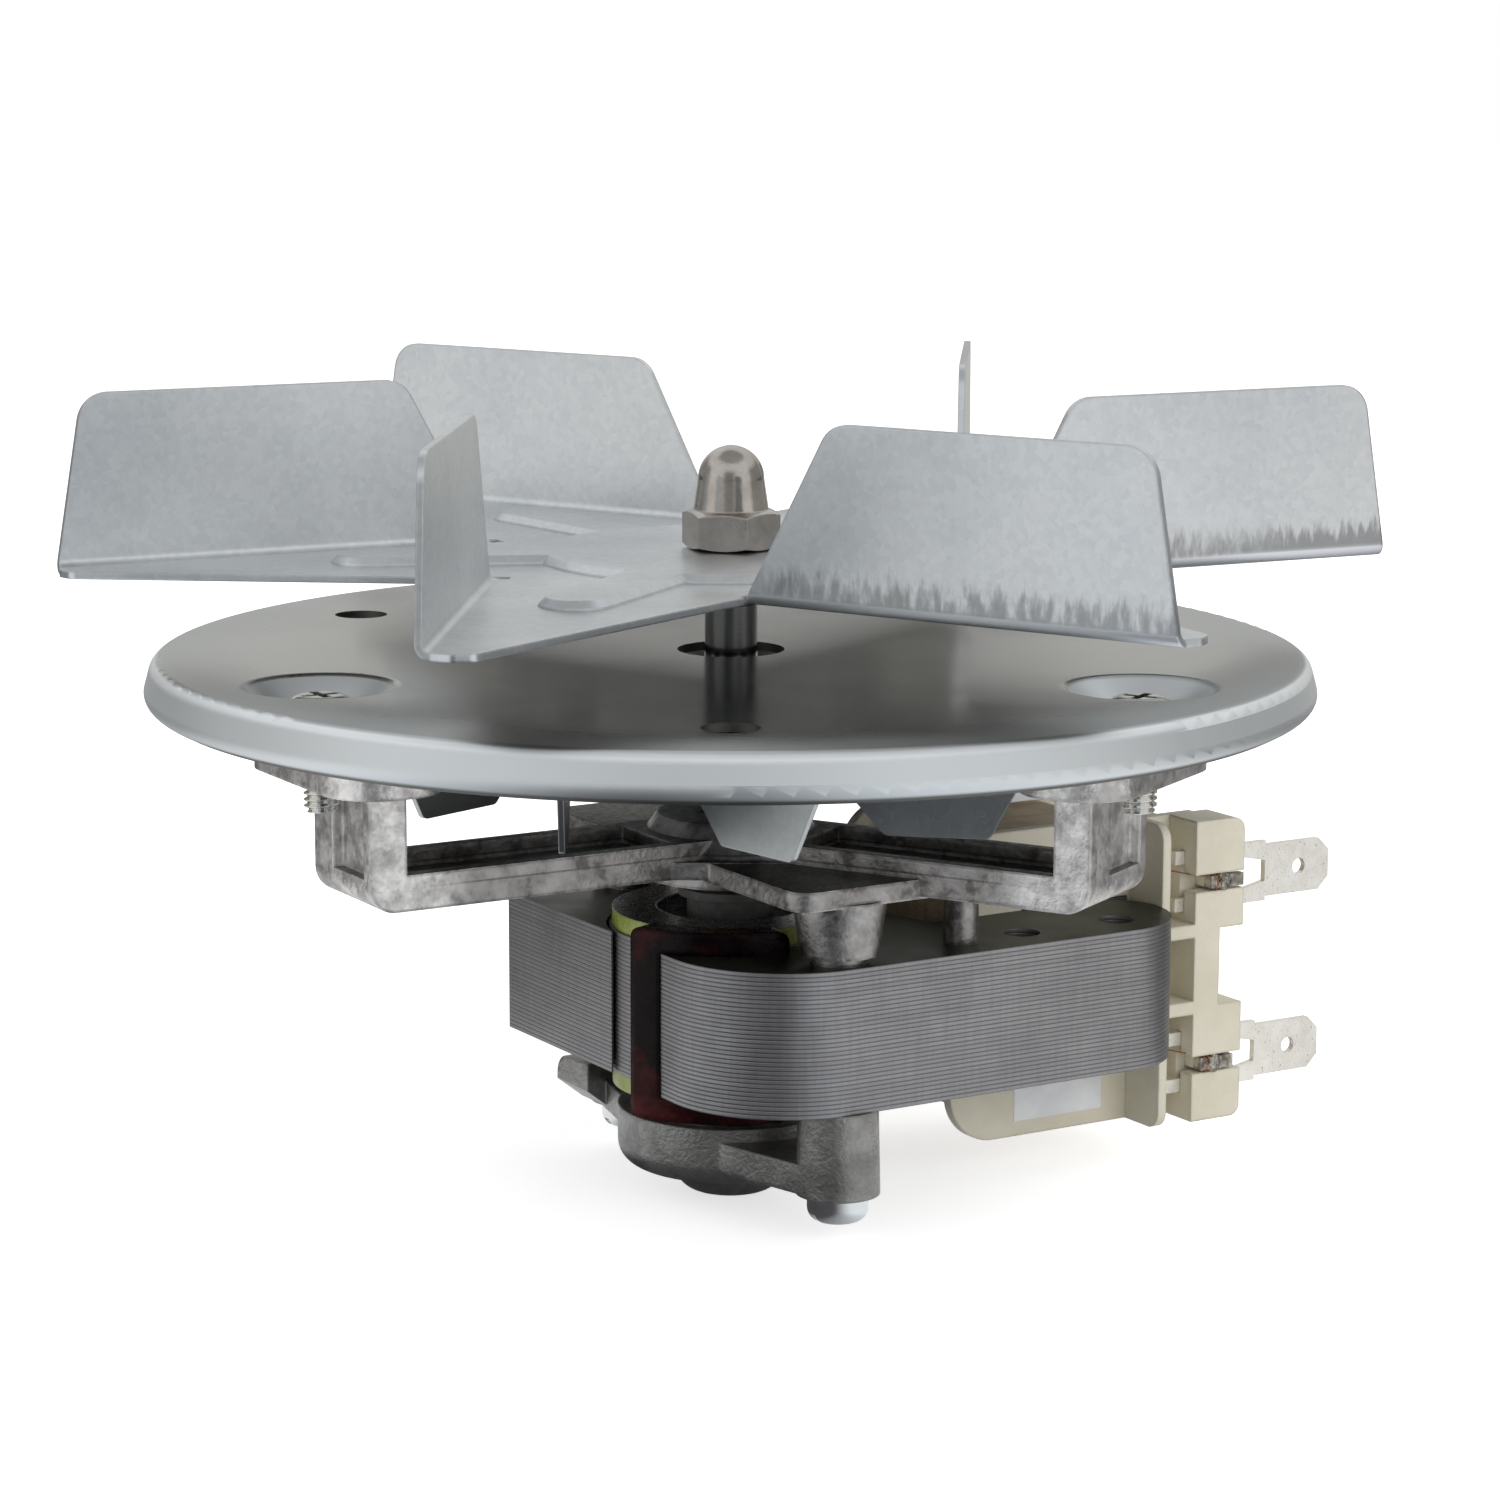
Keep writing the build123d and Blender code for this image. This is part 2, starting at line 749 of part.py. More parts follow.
# Rear bearing: the same three pieces the other way up
rear_bearing = bush(rear_bush_low, 1)
save(rear_bearing, "rear_bearing")
rear_oil_felt = washer(shaft_r + free_gap, bush_r, rear_floor + seat_gap, felt_t)
save(rear_oil_felt, "rear_oil_felt")
rear_bearing_clip = washer(bush_neck_r + seat_gap, bush_r, rear_clip_low, retainer_t)
save(rear_bearing_clip, "rear_bearing_clip")


# Rear bracket: one die casting, a bearing cup between two posts, with a lug on one post
with BuildPart() as lug:
    with BuildSketch(side_plane(post_b - lug_w / 2)):
        with BuildLine():
            Polyline(
                (0, lug_top),
                (-lug_reach, lug_top),
                (-lug_reach, lug_top - lug_h),
                (lug_slope - lug_reach, post_low + seat_gap),
                (0, post_low + seat_gap),
                close=True,
            )
        make_face()
    extrude(amount=-lug_w)
    far_top = edges().filter_by(Axis((0, 0, 0), tuple(stator_plane.x_dir))).group_by(Axis.Z)[-1]
    fillet(far_top.sort_by(Axis((0, 0, 0), tuple(stator_plane.y_dir)))[-1], lug_round)

with BuildPart() as rear_bracket:
    with BuildSketch(at_height(post_low)):
        with GridLocations(0, 2 * post_b, 1, 2):
            Circle(rear_post_r)
    extrude(
        amount=rear_post_h,
        taper=degrees(atan2(rear_post_r - rear_post_top_r, rear_post_h)),
    )
    with BuildSketch(at_height(arm_rear_top - rear_arm_t)):
        with BuildLine():
            Polyline(
                (-rear_arm_w / 2, -post_b),
                (rear_arm_w / 2, -post_b),
                (rear_arm_mid / 2, 0),
                (rear_arm_w / 2, post_b),
                (-rear_arm_w / 2, post_b),
                (-rear_arm_mid / 2, 0),
                close=True,
            )
        make_face()
    extrude(amount=rear_arm_t)
    with BuildSketch(Plane.XZ):
        with BuildLine():
            floor = Line((0, dome_low), (dome_r - dome_round, dome_low))
            round_dome = JernArc(floor @ 1, (1, 0), dome_round, 90)
            neck = Line(round_dome @ 1, (dome_r, cup_low))
            base = Line(neck @ 1, (cup_r - cup_corner_r, cup_low))
            corner = JernArc(base @ 1, (1, 0), cup_corner_r, 90)
            wall = Line(corner @ 1, (cup_r, cup_top))
            Polyline(
                wall @ 1,
                (cup_r - cup_wall, cup_top),
                (cup_r - cup_wall, cup_top - cup_well),
                (pocket_r + cup_wall, cup_top - cup_well),
                (pocket_r + cup_wall, rear_clip_low + 2 * retainer_t),
                (0, rear_clip_low + 2 * retainer_t),
                floor @ 0,
            )
        make_face()
    revolve(axis=Axis.Z)
    with BuildSketch(Plane.XY.offset(rear_floor)):
        Circle(pocket_r)
    extrude(amount=rear_clip_low + 2 * retainer_t - rear_floor, mode=Mode.SUBTRACT)
    with BuildSketch(Plane.XY.offset(shaft_low - free_gap)):
        Circle(shaft_r + free_gap)
    extrude(amount=cup_h, mode=Mode.SUBTRACT)
    add(lug.part)
    with BuildSketch(at_height(post_low)):
        with GridLocations(0, 2 * post_b, 1, 2):
            Circle(screw_r + screw_clear)
    extrude(amount=rear_post_h, mode=Mode.SUBTRACT)
save(rear_bracket, "rear_bracket")


# Stator screws: two long screws from the rear posts into the front bosses
with BuildPart() as stator_screws:
    with BuildSketch(at_height(post_low)):
        with GridLocations(0, 2 * post_b, 1, 2):
            Circle(stator_head_r)
    extrude(amount=-stator_head_h)
    fillet(edges().group_by(Axis.Z)[0], stator_head_round)
    with BuildSketch(at_height(post_low - stator_head_h)):
        with GridLocations(0, 2 * post_b, 1, 2):
            Rectangle(2 * stator_head_r, slot_w)
    extrude(amount=slot_depth, mode=Mode.SUBTRACT)
    with BuildSketch(at_height(post_low)):
        with GridLocations(0, 2 * post_b, 1, 2):
            Circle(screw_r)
    extrude(amount=screw_end - post_low)
save(stator_screws, "stator_screws")


# Stator stack: punched steel sheets, a U with the rotor bore at its closed end
def pole_gap(sign):
    """Corners of the wedge between two pole tips, on the -a or +a side."""
    tip = radians(ring_from + tip_half_angle)
    far = 2 * stack_half
    return [
        (0, -sign * pole_tip_b),
        (sign * far, -sign * pole_tip_b),
        (-sign * far * cos(tip), -sign * far * sin(tip)),
        (0, 0),
    ]


with BuildSketch(Plane.XY) as bridge:
    Circle(bore_r + bridge_t)
    Circle(bore_r - seat_gap, mode=Mode.SUBTRACT)
    with BuildLine():
        Polyline(*pole_gap(1), close=True)
    make_face(mode=Mode.INTERSECT)

slot_half_angle = tip_half_angle + degrees(seat_gap / ring_in_r)
with BuildSketch(Plane.XY) as ring_slot:
    Circle(ring_out_r + seat_gap)
    with BuildLine():
        Polyline(
            (0, 0),
            turned(2 * ring_out_r, 0, ring_to - slot_half_angle),
            turned(2 * ring_out_r, 0, ring_to + slot_half_angle),
            close=True,
        )
    make_face(mode=Mode.INTERSECT)

with BuildPart() as stator_stack:
    with BuildSketch(at_height(stack_low)):
        with BuildLine():
            left = Line((stack_left, 0), (stack_left, left_arc_r - stack_half))
            arc = JernArc(left @ 1, (0, -1), left_arc_r, 90)
            Polyline(
                arc @ 1,
                (stack_end, -stack_half),
                (stack_end, -leg_inner),
                (pole_root_a, -leg_inner),
                (pole_face_a, 0),
                left @ 0,
            )
        make_face()
        with BuildLine():
            Polyline(
                (far_left, 0),
                (far_left, stack_half),
                (stack_end, stack_half),
                (stack_end, leg_inner),
                (pole_root_a, leg_inner),
                (pole_face_a, 0),
                close=True,
            )
        make_face()
        ends = vertices().filter_by(lambda v: abs(v.X - stack_end) < 0.01)
        fillet(ends.filter_by(lambda v: abs(v.Y) > stack_half - 0.01), end_out_r)
        ends = vertices().filter_by(lambda v: abs(v.X - stack_end) < 0.01)
        fillet(ends.filter_by(lambda v: abs(v.Y) < leg_inner + 0.01), end_in_r)
        with BuildLine():
            Polyline(*pole_gap(-1), close=True)
        make_face(mode=Mode.SUBTRACT)
        with BuildLine():
            Polyline(*pole_gap(1), close=True)
        make_face(mode=Mode.SUBTRACT)
        add(bridge.sketch)
        Circle(bore_r, mode=Mode.SUBTRACT)
        with PolarLocations(0, 2):
            add(ring_slot.sketch, mode=Mode.SUBTRACT)
        with GridLocations(0, 2 * post_b, 1, 2):
            Circle(screw_r + screw_clear, mode=Mode.SUBTRACT)
        with Locations(((rivet_a1 + rivet_a2) / 2, 0)):
            with GridLocations(rivet_a2 - rivet_a1, 2 * rivet_b, 2, 2):
                Circle(rivet_hole_r, mode=Mode.SUBTRACT)
    extrude(amount=stack_h)
save(stator_stack, "stator_stack")


# Shading rings: closed copper loops round one tip of each pole
def ring_wedge(inset):
    """Corners of the sector between the two upright bars, drawn in by inset degrees."""
    reach = 2 * ring_out_r
    start = radians(ring_from - tip_half_angle + inset)
    end = radians(ring_to + tip_half_angle - inset)
    return [
        (0, 0),
        (reach * cos(start), reach * sin(start)),
        (reach * cos(end), reach * sin(end)),
    ]


with BuildPart() as shading_ring:
    with BuildSketch(Plane.XY.offset(stack_low - ring_rise)):
        Circle(ring_out_r)
        Circle(ring_in_r, mode=Mode.SUBTRACT)
        with BuildLine():
            Polyline(*ring_wedge(0), close=True)
        make_face(mode=Mode.INTERSECT)
    extrude(amount=stack_h + 2 * ring_rise)
    corners = edges().filter_by(GeomType.LINE).filter_by(Axis.Z, reverse=True)
    fillet(corners, ring_corner_r)
    with BuildSketch(Plane.XY.offset(stack_low - seat_gap)):
        Circle(ring_out_r + ring_bar)
        with BuildLine():
            Polyline(*ring_wedge(2 * tip_half_angle), close=True)
        make_face(mode=Mode.INTERSECT)
    extrude(amount=stack_h + 2 * seat_gap, mode=Mode.SUBTRACT)

with BuildPart() as shading_ring_front:
    add(shading_ring.part, rotation=(0, 0, stator_turn))
save(shading_ring_front, "shading_ring_front")
with BuildPart() as shading_ring_rear:
    add(shading_ring.part, rotation=(0, 0, stator_turn + 180))
save(shading_ring_rear, "shading_ring_rear")


# Coil core: the straight stack pressed between the legs of the U
with BuildPart() as coil_core:
    with BuildSketch(at_height(stack_low)):
        with Locations((core_a1, 0)):
            Rectangle(core_w, 2 * (leg_inner - seat_gap), align=(Align.MIN, Align.CENTER))
    extrude(amount=stack_h)
save(coil_core, "coil_core")


# Coil former: one cream moulding, a tube with two flanges, a fin over the stack's end
# and two terminal blocks on a spine
tube_gap = 2 * seat_gap
tube_a1 = core_a1 - tube_gap - former_wall
tube_a2 = core_a2 + tube_gap + former_wall
tube_top = stack_top + tube_gap + former_wall
tube_low = stack_low - tube_gap - former_wall
flange_mid_a = (flange_low_a + flange_high_a) / 2
flange_mid_z = (flange_top + flange_low) / 2
flange_len = flange_high_a - flange_low_a
flange_h = flange_top - flange_low
flange_b = leg_inner - seat_gap


def rounded_plate(inset, corner):
    """Sketch of the flange's outline, drawn in by inset, on the present side plane."""
    with Locations((flange_mid_a, flange_mid_z)):
        RectangleRounded(flange_len - 2 * inset, flange_h - 2 * inset, corner)


def block(b, a_low, a_high, z_low, z_high, depth):
    """A solid block whose outer face lies at -b, reaching depth back towards the coil."""
    with BuildPart() as piece:
        with BuildSketch(side_plane(-b)):
            with Locations(((a_low + a_high) / 2, (z_low + z_high) / 2)):
                Rectangle(a_high - a_low, z_high - z_low)
        extrude(amount=-depth)
    return piece.part


shelf_low = upper_low - shelf_t / 2
ledge_low = lower_top - shelf_t / 2
wall_b = flange_b + pocket_floor


def terminal_block(z_low, z_high, corner_z, corner_r):
    """A terminal block with its outer corner at corner_z rounded."""
    with BuildPart() as piece:
        with BuildSketch(side_plane(-fin_b)):
            with Locations(((spine_in_a + block_out_a) / 2, (z_low + z_high) / 2)):
                Rectangle(block_out_a - spine_in_a, z_high - z_low)
            corner = vertices().filter_by(
                lambda v: abs(v.X - block_out_a) < 0.01 and abs(v.Y - corner_z) < 0.01)
            fillet(corner, corner_r)
        extrude(amount=-block_depth)
    return piece.part


a_axis = Axis((0, 0, 0), tuple(stator_plane.x_dir))
b_axis = Axis((0, 0, 0), tuple(stator_plane.y_dir))
with BuildPart() as fin:
    add(block(fin_b, fin_a, fin_a + fin_t, flange_low, flange_top, fin_b - flange_b))
    fillet(edges().filter_by(a_axis).group_by(b_axis)[0], fin_corner_r)

former_blocks = [
    # tube round the core
    block(flange_b, tube_a1, tube_a2, tube_low, tube_top, 2 * flange_b),
    # fin over the end of the stack's near leg
    fin.part,
    # wall behind the pockets, spine and two shelves
    block(wall_b, fin_a, spine_out_a, lower_low, upper_top, pocket_floor),
    block(fin_b, spine_in_a, spine_out_a, lower_low, upper_top, fin_b - flange_b),
    block(fin_b, fin_a, spine_out_a, shelf_low, shelf_low + shelf_t, fin_b - flange_b),
    block(fin_b, fin_a, spine_out_a, ledge_low, ledge_low + shelf_t, fin_b - flange_b),
    # the two terminal blocks
    terminal_block(upper_low, upper_top, upper_top, upper_corner_r),
    terminal_block(lower_low, lower_top, lower_low, lower_corner_r),
]
core_hole = block(
    flange_b + cut_past, core_a1 - tube_gap, core_a2 + tube_gap,
    stack_low - tube_gap, stack_top + tube_gap, 2 * (flange_b + cut_past),
)
terminal_cuts = []
for zc, set_in in ((tab_z_upper, 0), (tab_z_lower, lower_set_in)):
    slot_half = shoulder_w / 2 + seat_gap
    terminal_cuts.append(block(
        tab_b + tab_t / 2 + seat_gap, prong_in_a - set_in, block_out_a + cut_past,
        zc - slot_half, zc + slot_half, tab_t + 2 * seat_gap,
    ))
    terminal_cuts.append(block(
        fin_b, spine_in_a, block_out_a + cut_past, zc - groove_half, zc + groove_half, fin_b - tab_b,
    ))

with BuildPart() as coil_former:
    with BuildSketch(side_plane(-flange_b)):
        rounded_plate(0, flange_corner_r)
    extrude(amount=-flange_t)
    with BuildSketch(side_plane(flange_b)):
        rounded_plate(0, flange_corner_r)
    extrude(amount=flange_t)
    add(former_blocks)
    add(core_hole, mode=Mode.SUBTRACT)
    add(terminal_cuts, mode=Mode.SUBTRACT)
save(coil_former, "coil_former")


# Winding and the tape wrapped over it
def coil_layer(inner, outer):
    """A closed layer round the former's tube, between two insets from the flange's edge."""
    with BuildPart() as layer:
        with BuildSketch(side_plane(-(flange_b - flange_t - seat_gap))):
            rounded_plate(outer, flange_corner_r)
            if inner is None:
                with Locations(((tube_a1 + tube_a2) / 2, (tube_low + tube_top) / 2)):
                    Rectangle(
                        tube_a2 - tube_a1 + 2 * seat_gap,
                        tube_top - tube_low + 2 * seat_gap,
                        mode=Mode.SUBTRACT,
                    )
            else:
                with Locations((flange_mid_a, flange_mid_z)):
                    RectangleRounded(
                        flange_len - 2 * inner,
                        flange_h - 2 * inner,
                        flange_corner_r - (inner - outer),
                        mode=Mode.SUBTRACT,
                    )
        extrude(amount=-2 * (flange_b - flange_t - seat_gap))
    return layer


coil_winding = coil_layer(None, winding_edge + tape_t + seat_gap)
save(coil_winding, "coil_winding")
coil_tape = coil_layer(winding_edge + tape_t, winding_edge)
save(coil_tape, "coil_tape")


# Label: a plain sticker on the near flange
with BuildPart() as rating_label:
    with BuildSketch(side_plane(-flange_b)):
        with Locations(((label_a1 + label_a2) / 2, (label_low + label_top) / 2)):
            Rectangle(label_a2 - label_a1, label_top - label_low)
    extrude(amount=label_t)
save(rating_label, "rating_label")


# Terminals: tinned 6.3 mm tabs with two prongs in the block and a wire post in front
def terminal(zc):
    """One tab whose blade is centred at height zc."""
    post_low = zc - wire_post_w / 2
    post_top = zc + wire_post_w / 2
    wire_post = [
        block(fin_b, post_in_a, post_in_a + wire_post_t, post_low, post_top, fin_b - tab_b),
        block(fin_b, post_in_a, block_out_a - seat_gap, post_low, post_top, wire_post_t),
    ]
    with BuildPart() as tab:
        with BuildSketch(side_plane(-tab_b - tab_t / 2)):
            with Locations((shoulder_a, zc)):
                Rectangle(tab_tip_a - shoulder_a, tab_w, align=(Align.MIN, Align.CENTER))
            tips = vertices().filter_by(lambda v: abs(v.X - tab_tip_a) < 0.01)
            chamfer(tips, tab_chamfer)
            with Locations((block_out_a, zc)):
                Rectangle(shoulder_a - block_out_a, shoulder_w, align=(Align.MIN, Align.CENTER))
            with Locations((prong_in_a, zc + shoulder_w / 2), (prong_in_a, zc - shoulder_w / 2 + prong_w)):
                Rectangle(block_out_a - prong_in_a, prong_w, align=(Align.MIN, Align.MAX))
            with Locations((post_in_a, zc)):
                Rectangle(block_out_a - post_in_a, wire_post_w, align=(Align.MIN, Align.CENTER))
            with BuildLine():
                Polyline(
                    (window_a1, zc - window_h1 / 2),
                    (window_a2, zc - window_h2 / 2),
                    (window_a2, zc + window_h2 / 2),
                    (window_a1, zc + window_h1 / 2),
                    close=True,
                )
            make_face(mode=Mode.SUBTRACT)
            with Locations((tab_tip_a - tab_hole_back, zc)):
                Circle(tab_hole_r, mode=Mode.SUBTRACT)
        extrude(amount=-tab_t)
        add(wire_post)
    return tab


terminal_upper = terminal(tab_z_upper)
save(terminal_upper, "terminal_upper")
terminal_lower = terminal(tab_z_lower)
terminal_lower.part = terminal_lower.part.translate(stator_plane.x_dir * -lower_set_in)
save(terminal_lower, "terminal_lower")


# Rotor core: round punched sheets with a hole for each bar of the cage
with BuildPart() as rotor_core:
    with BuildSketch(Plane.XY.offset(stack_low)):
        Circle(rotor_r)
        Circle(shaft_r + press_gap, mode=Mode.SUBTRACT)
        with PolarLocations(bar_circle_r, cage_bars):
            Circle(bar_r + press_gap, mode=Mode.SUBTRACT)
    extrude(amount=stack_h)
save(rotor_core, "rotor_core")


# Rotor cage: cast bars joined by an end ring above and below the core
with BuildPart() as rotor_cage:
    with BuildSketch(Plane.XY.offset(stack_low - end_ring_h)):
        Circle(rotor_r - end_ring_inset)
        Circle(end_ring_in_r, mode=Mode.SUBTRACT)
    extrude(amount=end_ring_h)
    with BuildSketch(Plane.XY.offset(stack_top)):
        Circle(rotor_r - end_ring_inset)
        Circle(end_ring_in_r, mode=Mode.SUBTRACT)
    extrude(amount=end_ring_h)
    with BuildSketch(Plane.XY.offset(stack_low)):
        with PolarLocations(bar_circle_r, cage_bars):
            Circle(bar_r)
    extrude(amount=stack_h)
save(rotor_cage, "rotor_cage")


# Spacers and thrust washers that set the rotor between its two bearings
front_washer_z = front_bush_low - end_gap - washer_t
rear_washer_z = rear_bush_top + end_gap
thrust_washer_front = washer(shaft_r + press_gap, thrust_r, front_washer_z, washer_t)
save(thrust_washer_front, "thrust_washer_front")
spacer_front = washer(shaft_r + press_gap, spacer_r, stack_top, front_washer_z - stack_top)
save(spacer_front, "spacer_front")
thrust_washer_rear = washer(shaft_r + press_gap, thrust_r, rear_washer_z, washer_t)
save(thrust_washer_rear, "thrust_washer_rear")
spacer_rear = washer(
    shaft_r + press_gap, spacer_r, rear_washer_z + washer_t, stack_low - rear_washer_z - washer_t)
save(spacer_rear, "spacer_rear")


# Cooling fan: a nine-armed sheet with a blade folded down along each arm
fan_blade = folded_blade(
    fan_offset, fan_t, fan_top, -1, fan_bend_r,
    fan_in_top, fan_out_top, fan_in_low, fan_out_low, fan_drop, fan_corner_r,
)
fan_fold = -fan_offset - fan_t / 2 + fan_bend_r + fan_t
with BuildPart() as cooling_fan:
    with BuildSketch(Plane.XY.offset(fan_top - fan_t)):
        with BuildLine():
            Polyline(
                *arm_outline(fan_blades, fan_fold, fan_in_top, fan_out_top, fan_tip_reach, fan_tip_width),
                close=True,
            )
        make_face()
        fillet(arm_tips(vertices(), fan_blades, fan_fold, fan_tip_reach, fan_tip_width), fan_corner_r)
        Circle(fan_neck_r + press_gap, mode=Mode.SUBTRACT)
    extrude(amount=fan_t)
    with PolarLocations(0, fan_blades):
        add(fan_blade.part)
cooling_fan.part = cooling_fan.part.rotate(Axis.Z, fan_turn)
save(cooling_fan, "cooling_fan")


# Cooling fan hub: turned bush pressed on the shaft, its end spread over the sheet
with BuildPart() as cooling_fan_hub:
    with BuildSketch(Plane.XZ):
        with BuildLine():
            Polyline(
                (shaft_r + press_gap, fan_top - fan_t - fan_hub_h),
                (fan_hub_r, fan_top - fan_t - fan_hub_h),
                (fan_hub_r, fan_top - fan_t),
                (fan_neck_r, fan_top - fan_t),
                (fan_neck_r, fan_top),
                (fan_neck_r + fan_stake, fan_top),
                (fan_neck_r + fan_stake, fan_top + fan_stake / 2),
                (fan_neck_r, fan_top + fan_stake),
                (shaft_r + press_gap, fan_top + fan_stake),
                close=True,
            )
        make_face()
    revolve(axis=Axis.Z)
save(cooling_fan_hub, "cooling_fan_hub")
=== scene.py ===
from math import cos, pi, radians, sin

import bmesh
import bpy
from mathutils import Matrix, Vector


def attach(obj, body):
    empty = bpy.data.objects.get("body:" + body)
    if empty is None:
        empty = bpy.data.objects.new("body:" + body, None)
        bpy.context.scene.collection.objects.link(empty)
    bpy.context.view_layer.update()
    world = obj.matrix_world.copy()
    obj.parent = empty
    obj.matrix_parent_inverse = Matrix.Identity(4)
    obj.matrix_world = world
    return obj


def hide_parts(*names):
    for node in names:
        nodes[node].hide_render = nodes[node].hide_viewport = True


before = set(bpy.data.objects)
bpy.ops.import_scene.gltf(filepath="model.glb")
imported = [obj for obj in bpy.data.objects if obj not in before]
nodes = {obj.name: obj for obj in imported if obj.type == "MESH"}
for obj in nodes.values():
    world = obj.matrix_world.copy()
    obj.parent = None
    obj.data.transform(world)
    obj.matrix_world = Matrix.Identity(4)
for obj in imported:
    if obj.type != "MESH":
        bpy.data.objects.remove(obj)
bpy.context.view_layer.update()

# Stator stack and coil core
# Punched steel sheets half a millimetre thick, lacquered on their faces and left bare on
# their cut edges. The straight core closes the U through the middle of the coil.
mm = 0.001
stator_turn = radians(31.03)
a_dir = Vector((cos(stator_turn), sin(stator_turn), 0))
b_dir = Vector((-sin(stator_turn), cos(stator_turn), 0))
up_dir = Vector((0, 0, 1))
stack_top = -31.7 * mm
sheet_pitch = 0.5 * mm
joint_from = 0.26        # where a joint starts, as a share of the pitch from a sheet's middle
joint_to = 0.48
cut_edge_light = (0.34, 0.335, 0.34, 1)
cut_edge_dark = (0.15, 0.145, 0.15, 1)
cut_edge_depth = 0.03 * mm
shear_width = 0.5 * mm
shear_stretch = 12.0
lacquer_dark = (0.045, 0.05, 0.045, 1)
lacquer_light = (0.10, 0.11, 0.09, 1)
noise_low = 0.3          # most noise lies between these two values
noise_high = 0.7
side_tilt = (0.5, 0.7)   # upward share of the normal between an upright and a level face


def add_node(tree, kind, values=None, **settings):
    """A shader node with its input values and settings."""
    made = tree.nodes.new("ShaderNode" + kind)
    for key, value in settings.items():
        setattr(made, key, value)
    for key, value in (values or {}).items():
        made.inputs[key].default_value = value
    return made


def compute(tree, operation, first, second=None):
    """The output of a Math node; each operand is a socket or a number."""
    made = add_node(tree, "Math", operation=operation)
    for index, operand in enumerate((first, second)):
        if operand is None:
            continue
        if isinstance(operand, (int, float)):
            made.inputs[index].default_value = operand
        else:
            tree.links.new(operand, made.inputs[index])
    return made.outputs[0]


def times(tree, first, *others):
    """The product of two or more sockets or numbers."""
    for other in others:
        first = compute(tree, "MULTIPLY", first, other)
    return first


def span(tree, value, low, high, to_low=0.0, to_high=1.0):
    """A value's range from low to high spread smoothly over to_low to to_high."""
    made = add_node(tree, "MapRange", {1: low, 2: high, 3: to_low, 4: to_high})
    made.interpolation_type = "SMOOTHSTEP"
    tree.links.new(value, made.inputs[0])
    return made.outputs[0]


def fade(tree, value, low, high, full=1.0):
    """Full where a value is under low, falling smoothly to nothing at high."""
    return span(tree, value, low, high, full, 0.0)


def blend_colours(tree, factor, first, second):
    """A colour mixed by a factor; each colour is a socket or four numbers."""
    made = add_node(tree, "Mix", data_type="RGBA", clamp_factor=True)
    for index, operand in ((0, factor), (6, first), (7, second)):
        if isinstance(operand, (int, float, tuple)):
            made.inputs[index].default_value = operand
        else:
            tree.links.new(operand, made.inputs[index])
    return made.outputs[2]


def new_group(name, inputs, outputs):
    """An empty node group with named number or colour sockets."""
    group = bpy.data.node_groups.new(name, "ShaderNodeTree")
    for label, kind, value in inputs:
        socket = group.interface.new_socket(label, in_out="INPUT", socket_type="NodeSocket" + kind)
        socket.default_value = value
    for label, kind in outputs:
        group.interface.new_socket(label, in_out="OUTPUT", socket_type="NodeSocket" + kind)
    return group, group.nodes.new("NodeGroupInput"), group.nodes.new("NodeGroupOutput")


def use_group(tree, group, values=None):
    """A group placed in a material with its own values."""
    made = tree.nodes.new("ShaderNodeGroup")
    made.node_tree = group
    for key, value in (values or {}).items():
        made.inputs[key].default_value = value
    return made


def new_material(name, roughness, metallic):
    """A node material; returns it with its tree and its Principled shader."""
    material = bpy.data.materials.new(name)
    material.use_nodes = True
    tree = material.node_tree
    shader = tree.nodes["Principled BSDF"]
    shader.inputs["Roughness"].default_value = roughness
    shader.inputs["Metallic"].default_value = metallic
    return material, tree, shader


def dress(material, *names):
    """Gives CAD nodes a material."""
    for name in names:
        mesh = nodes[name].data
        mesh.materials.clear()
        mesh.materials.append(material)


def finish_surface(tree, shader, colour, roughness=None, height=None, depth=0.0, edge=0.0, normal=None):
    """Joins colour, roughness, bump and a rounded edge to the shader."""
    tree.links.new(colour, shader.inputs["Base Color"])
    if roughness is not None:
        tree.links.new(roughness, shader.inputs["Roughness"])
    if edge:
        rounded = add_node(tree, "Bevel", {"Radius": edge}, samples=4)
        normal = rounded.outputs[0]
    if height is not None:
        bump = add_node(tree, "Bump", {"Strength": 1.0, "Distance": depth})
        tree.links.new(height, bump.inputs["Height"])
        if normal:
            tree.links.new(normal, bump.inputs["Normal"])
        normal = bump.outputs[0]
    if normal:
        tree.links.new(normal, shader.inputs["Normal"])


# Edges of a pile of sheets: Line is the sheet's own edge, 0 in the joint between two
# sheets, Tone differs from sheet to sheet, and Side is 1 on the upright cut faces.
pile, pile_in, pile_out = new_group(
    "pile_of_sheets",
    [("Pitch", "Float", sheet_pitch), ("Top", "Float", stack_top)],
    [("Line", "Float"), ("Tone", "Float"), ("Side", "Float")],
)
where = add_node(pile, "TexCoord")
place = add_node(pile, "SeparateXYZ")
pile.links.new(where.outputs["Object"], place.inputs[0])
depth_in = compute(pile, "SUBTRACT", pile_in.outputs["Top"], place.outputs["Z"])
sheets = compute(pile, "DIVIDE", depth_in, pile_in.outputs["Pitch"])
across = compute(pile, "FRACT", sheets)
from_mid = compute(pile, "ABSOLUTE", compute(pile, "SUBTRACT", across, 0.5))
pile.links.new(fade(pile, from_mid, joint_from, joint_to), pile_out.inputs["Line"])
number = compute(pile, "FLOOR", sheets)
tone = add_node(pile, "TexWhiteNoise", noise_dimensions="1D")
pile.links.new(number, tone.inputs["W"])
pile.links.new(tone.outputs["Value"], pile_out.inputs["Tone"])
facing = add_node(pile, "NewGeometry")
upright = add_node(pile, "SeparateXYZ")
pile.links.new(facing.outputs["True Normal"], upright.inputs[0])
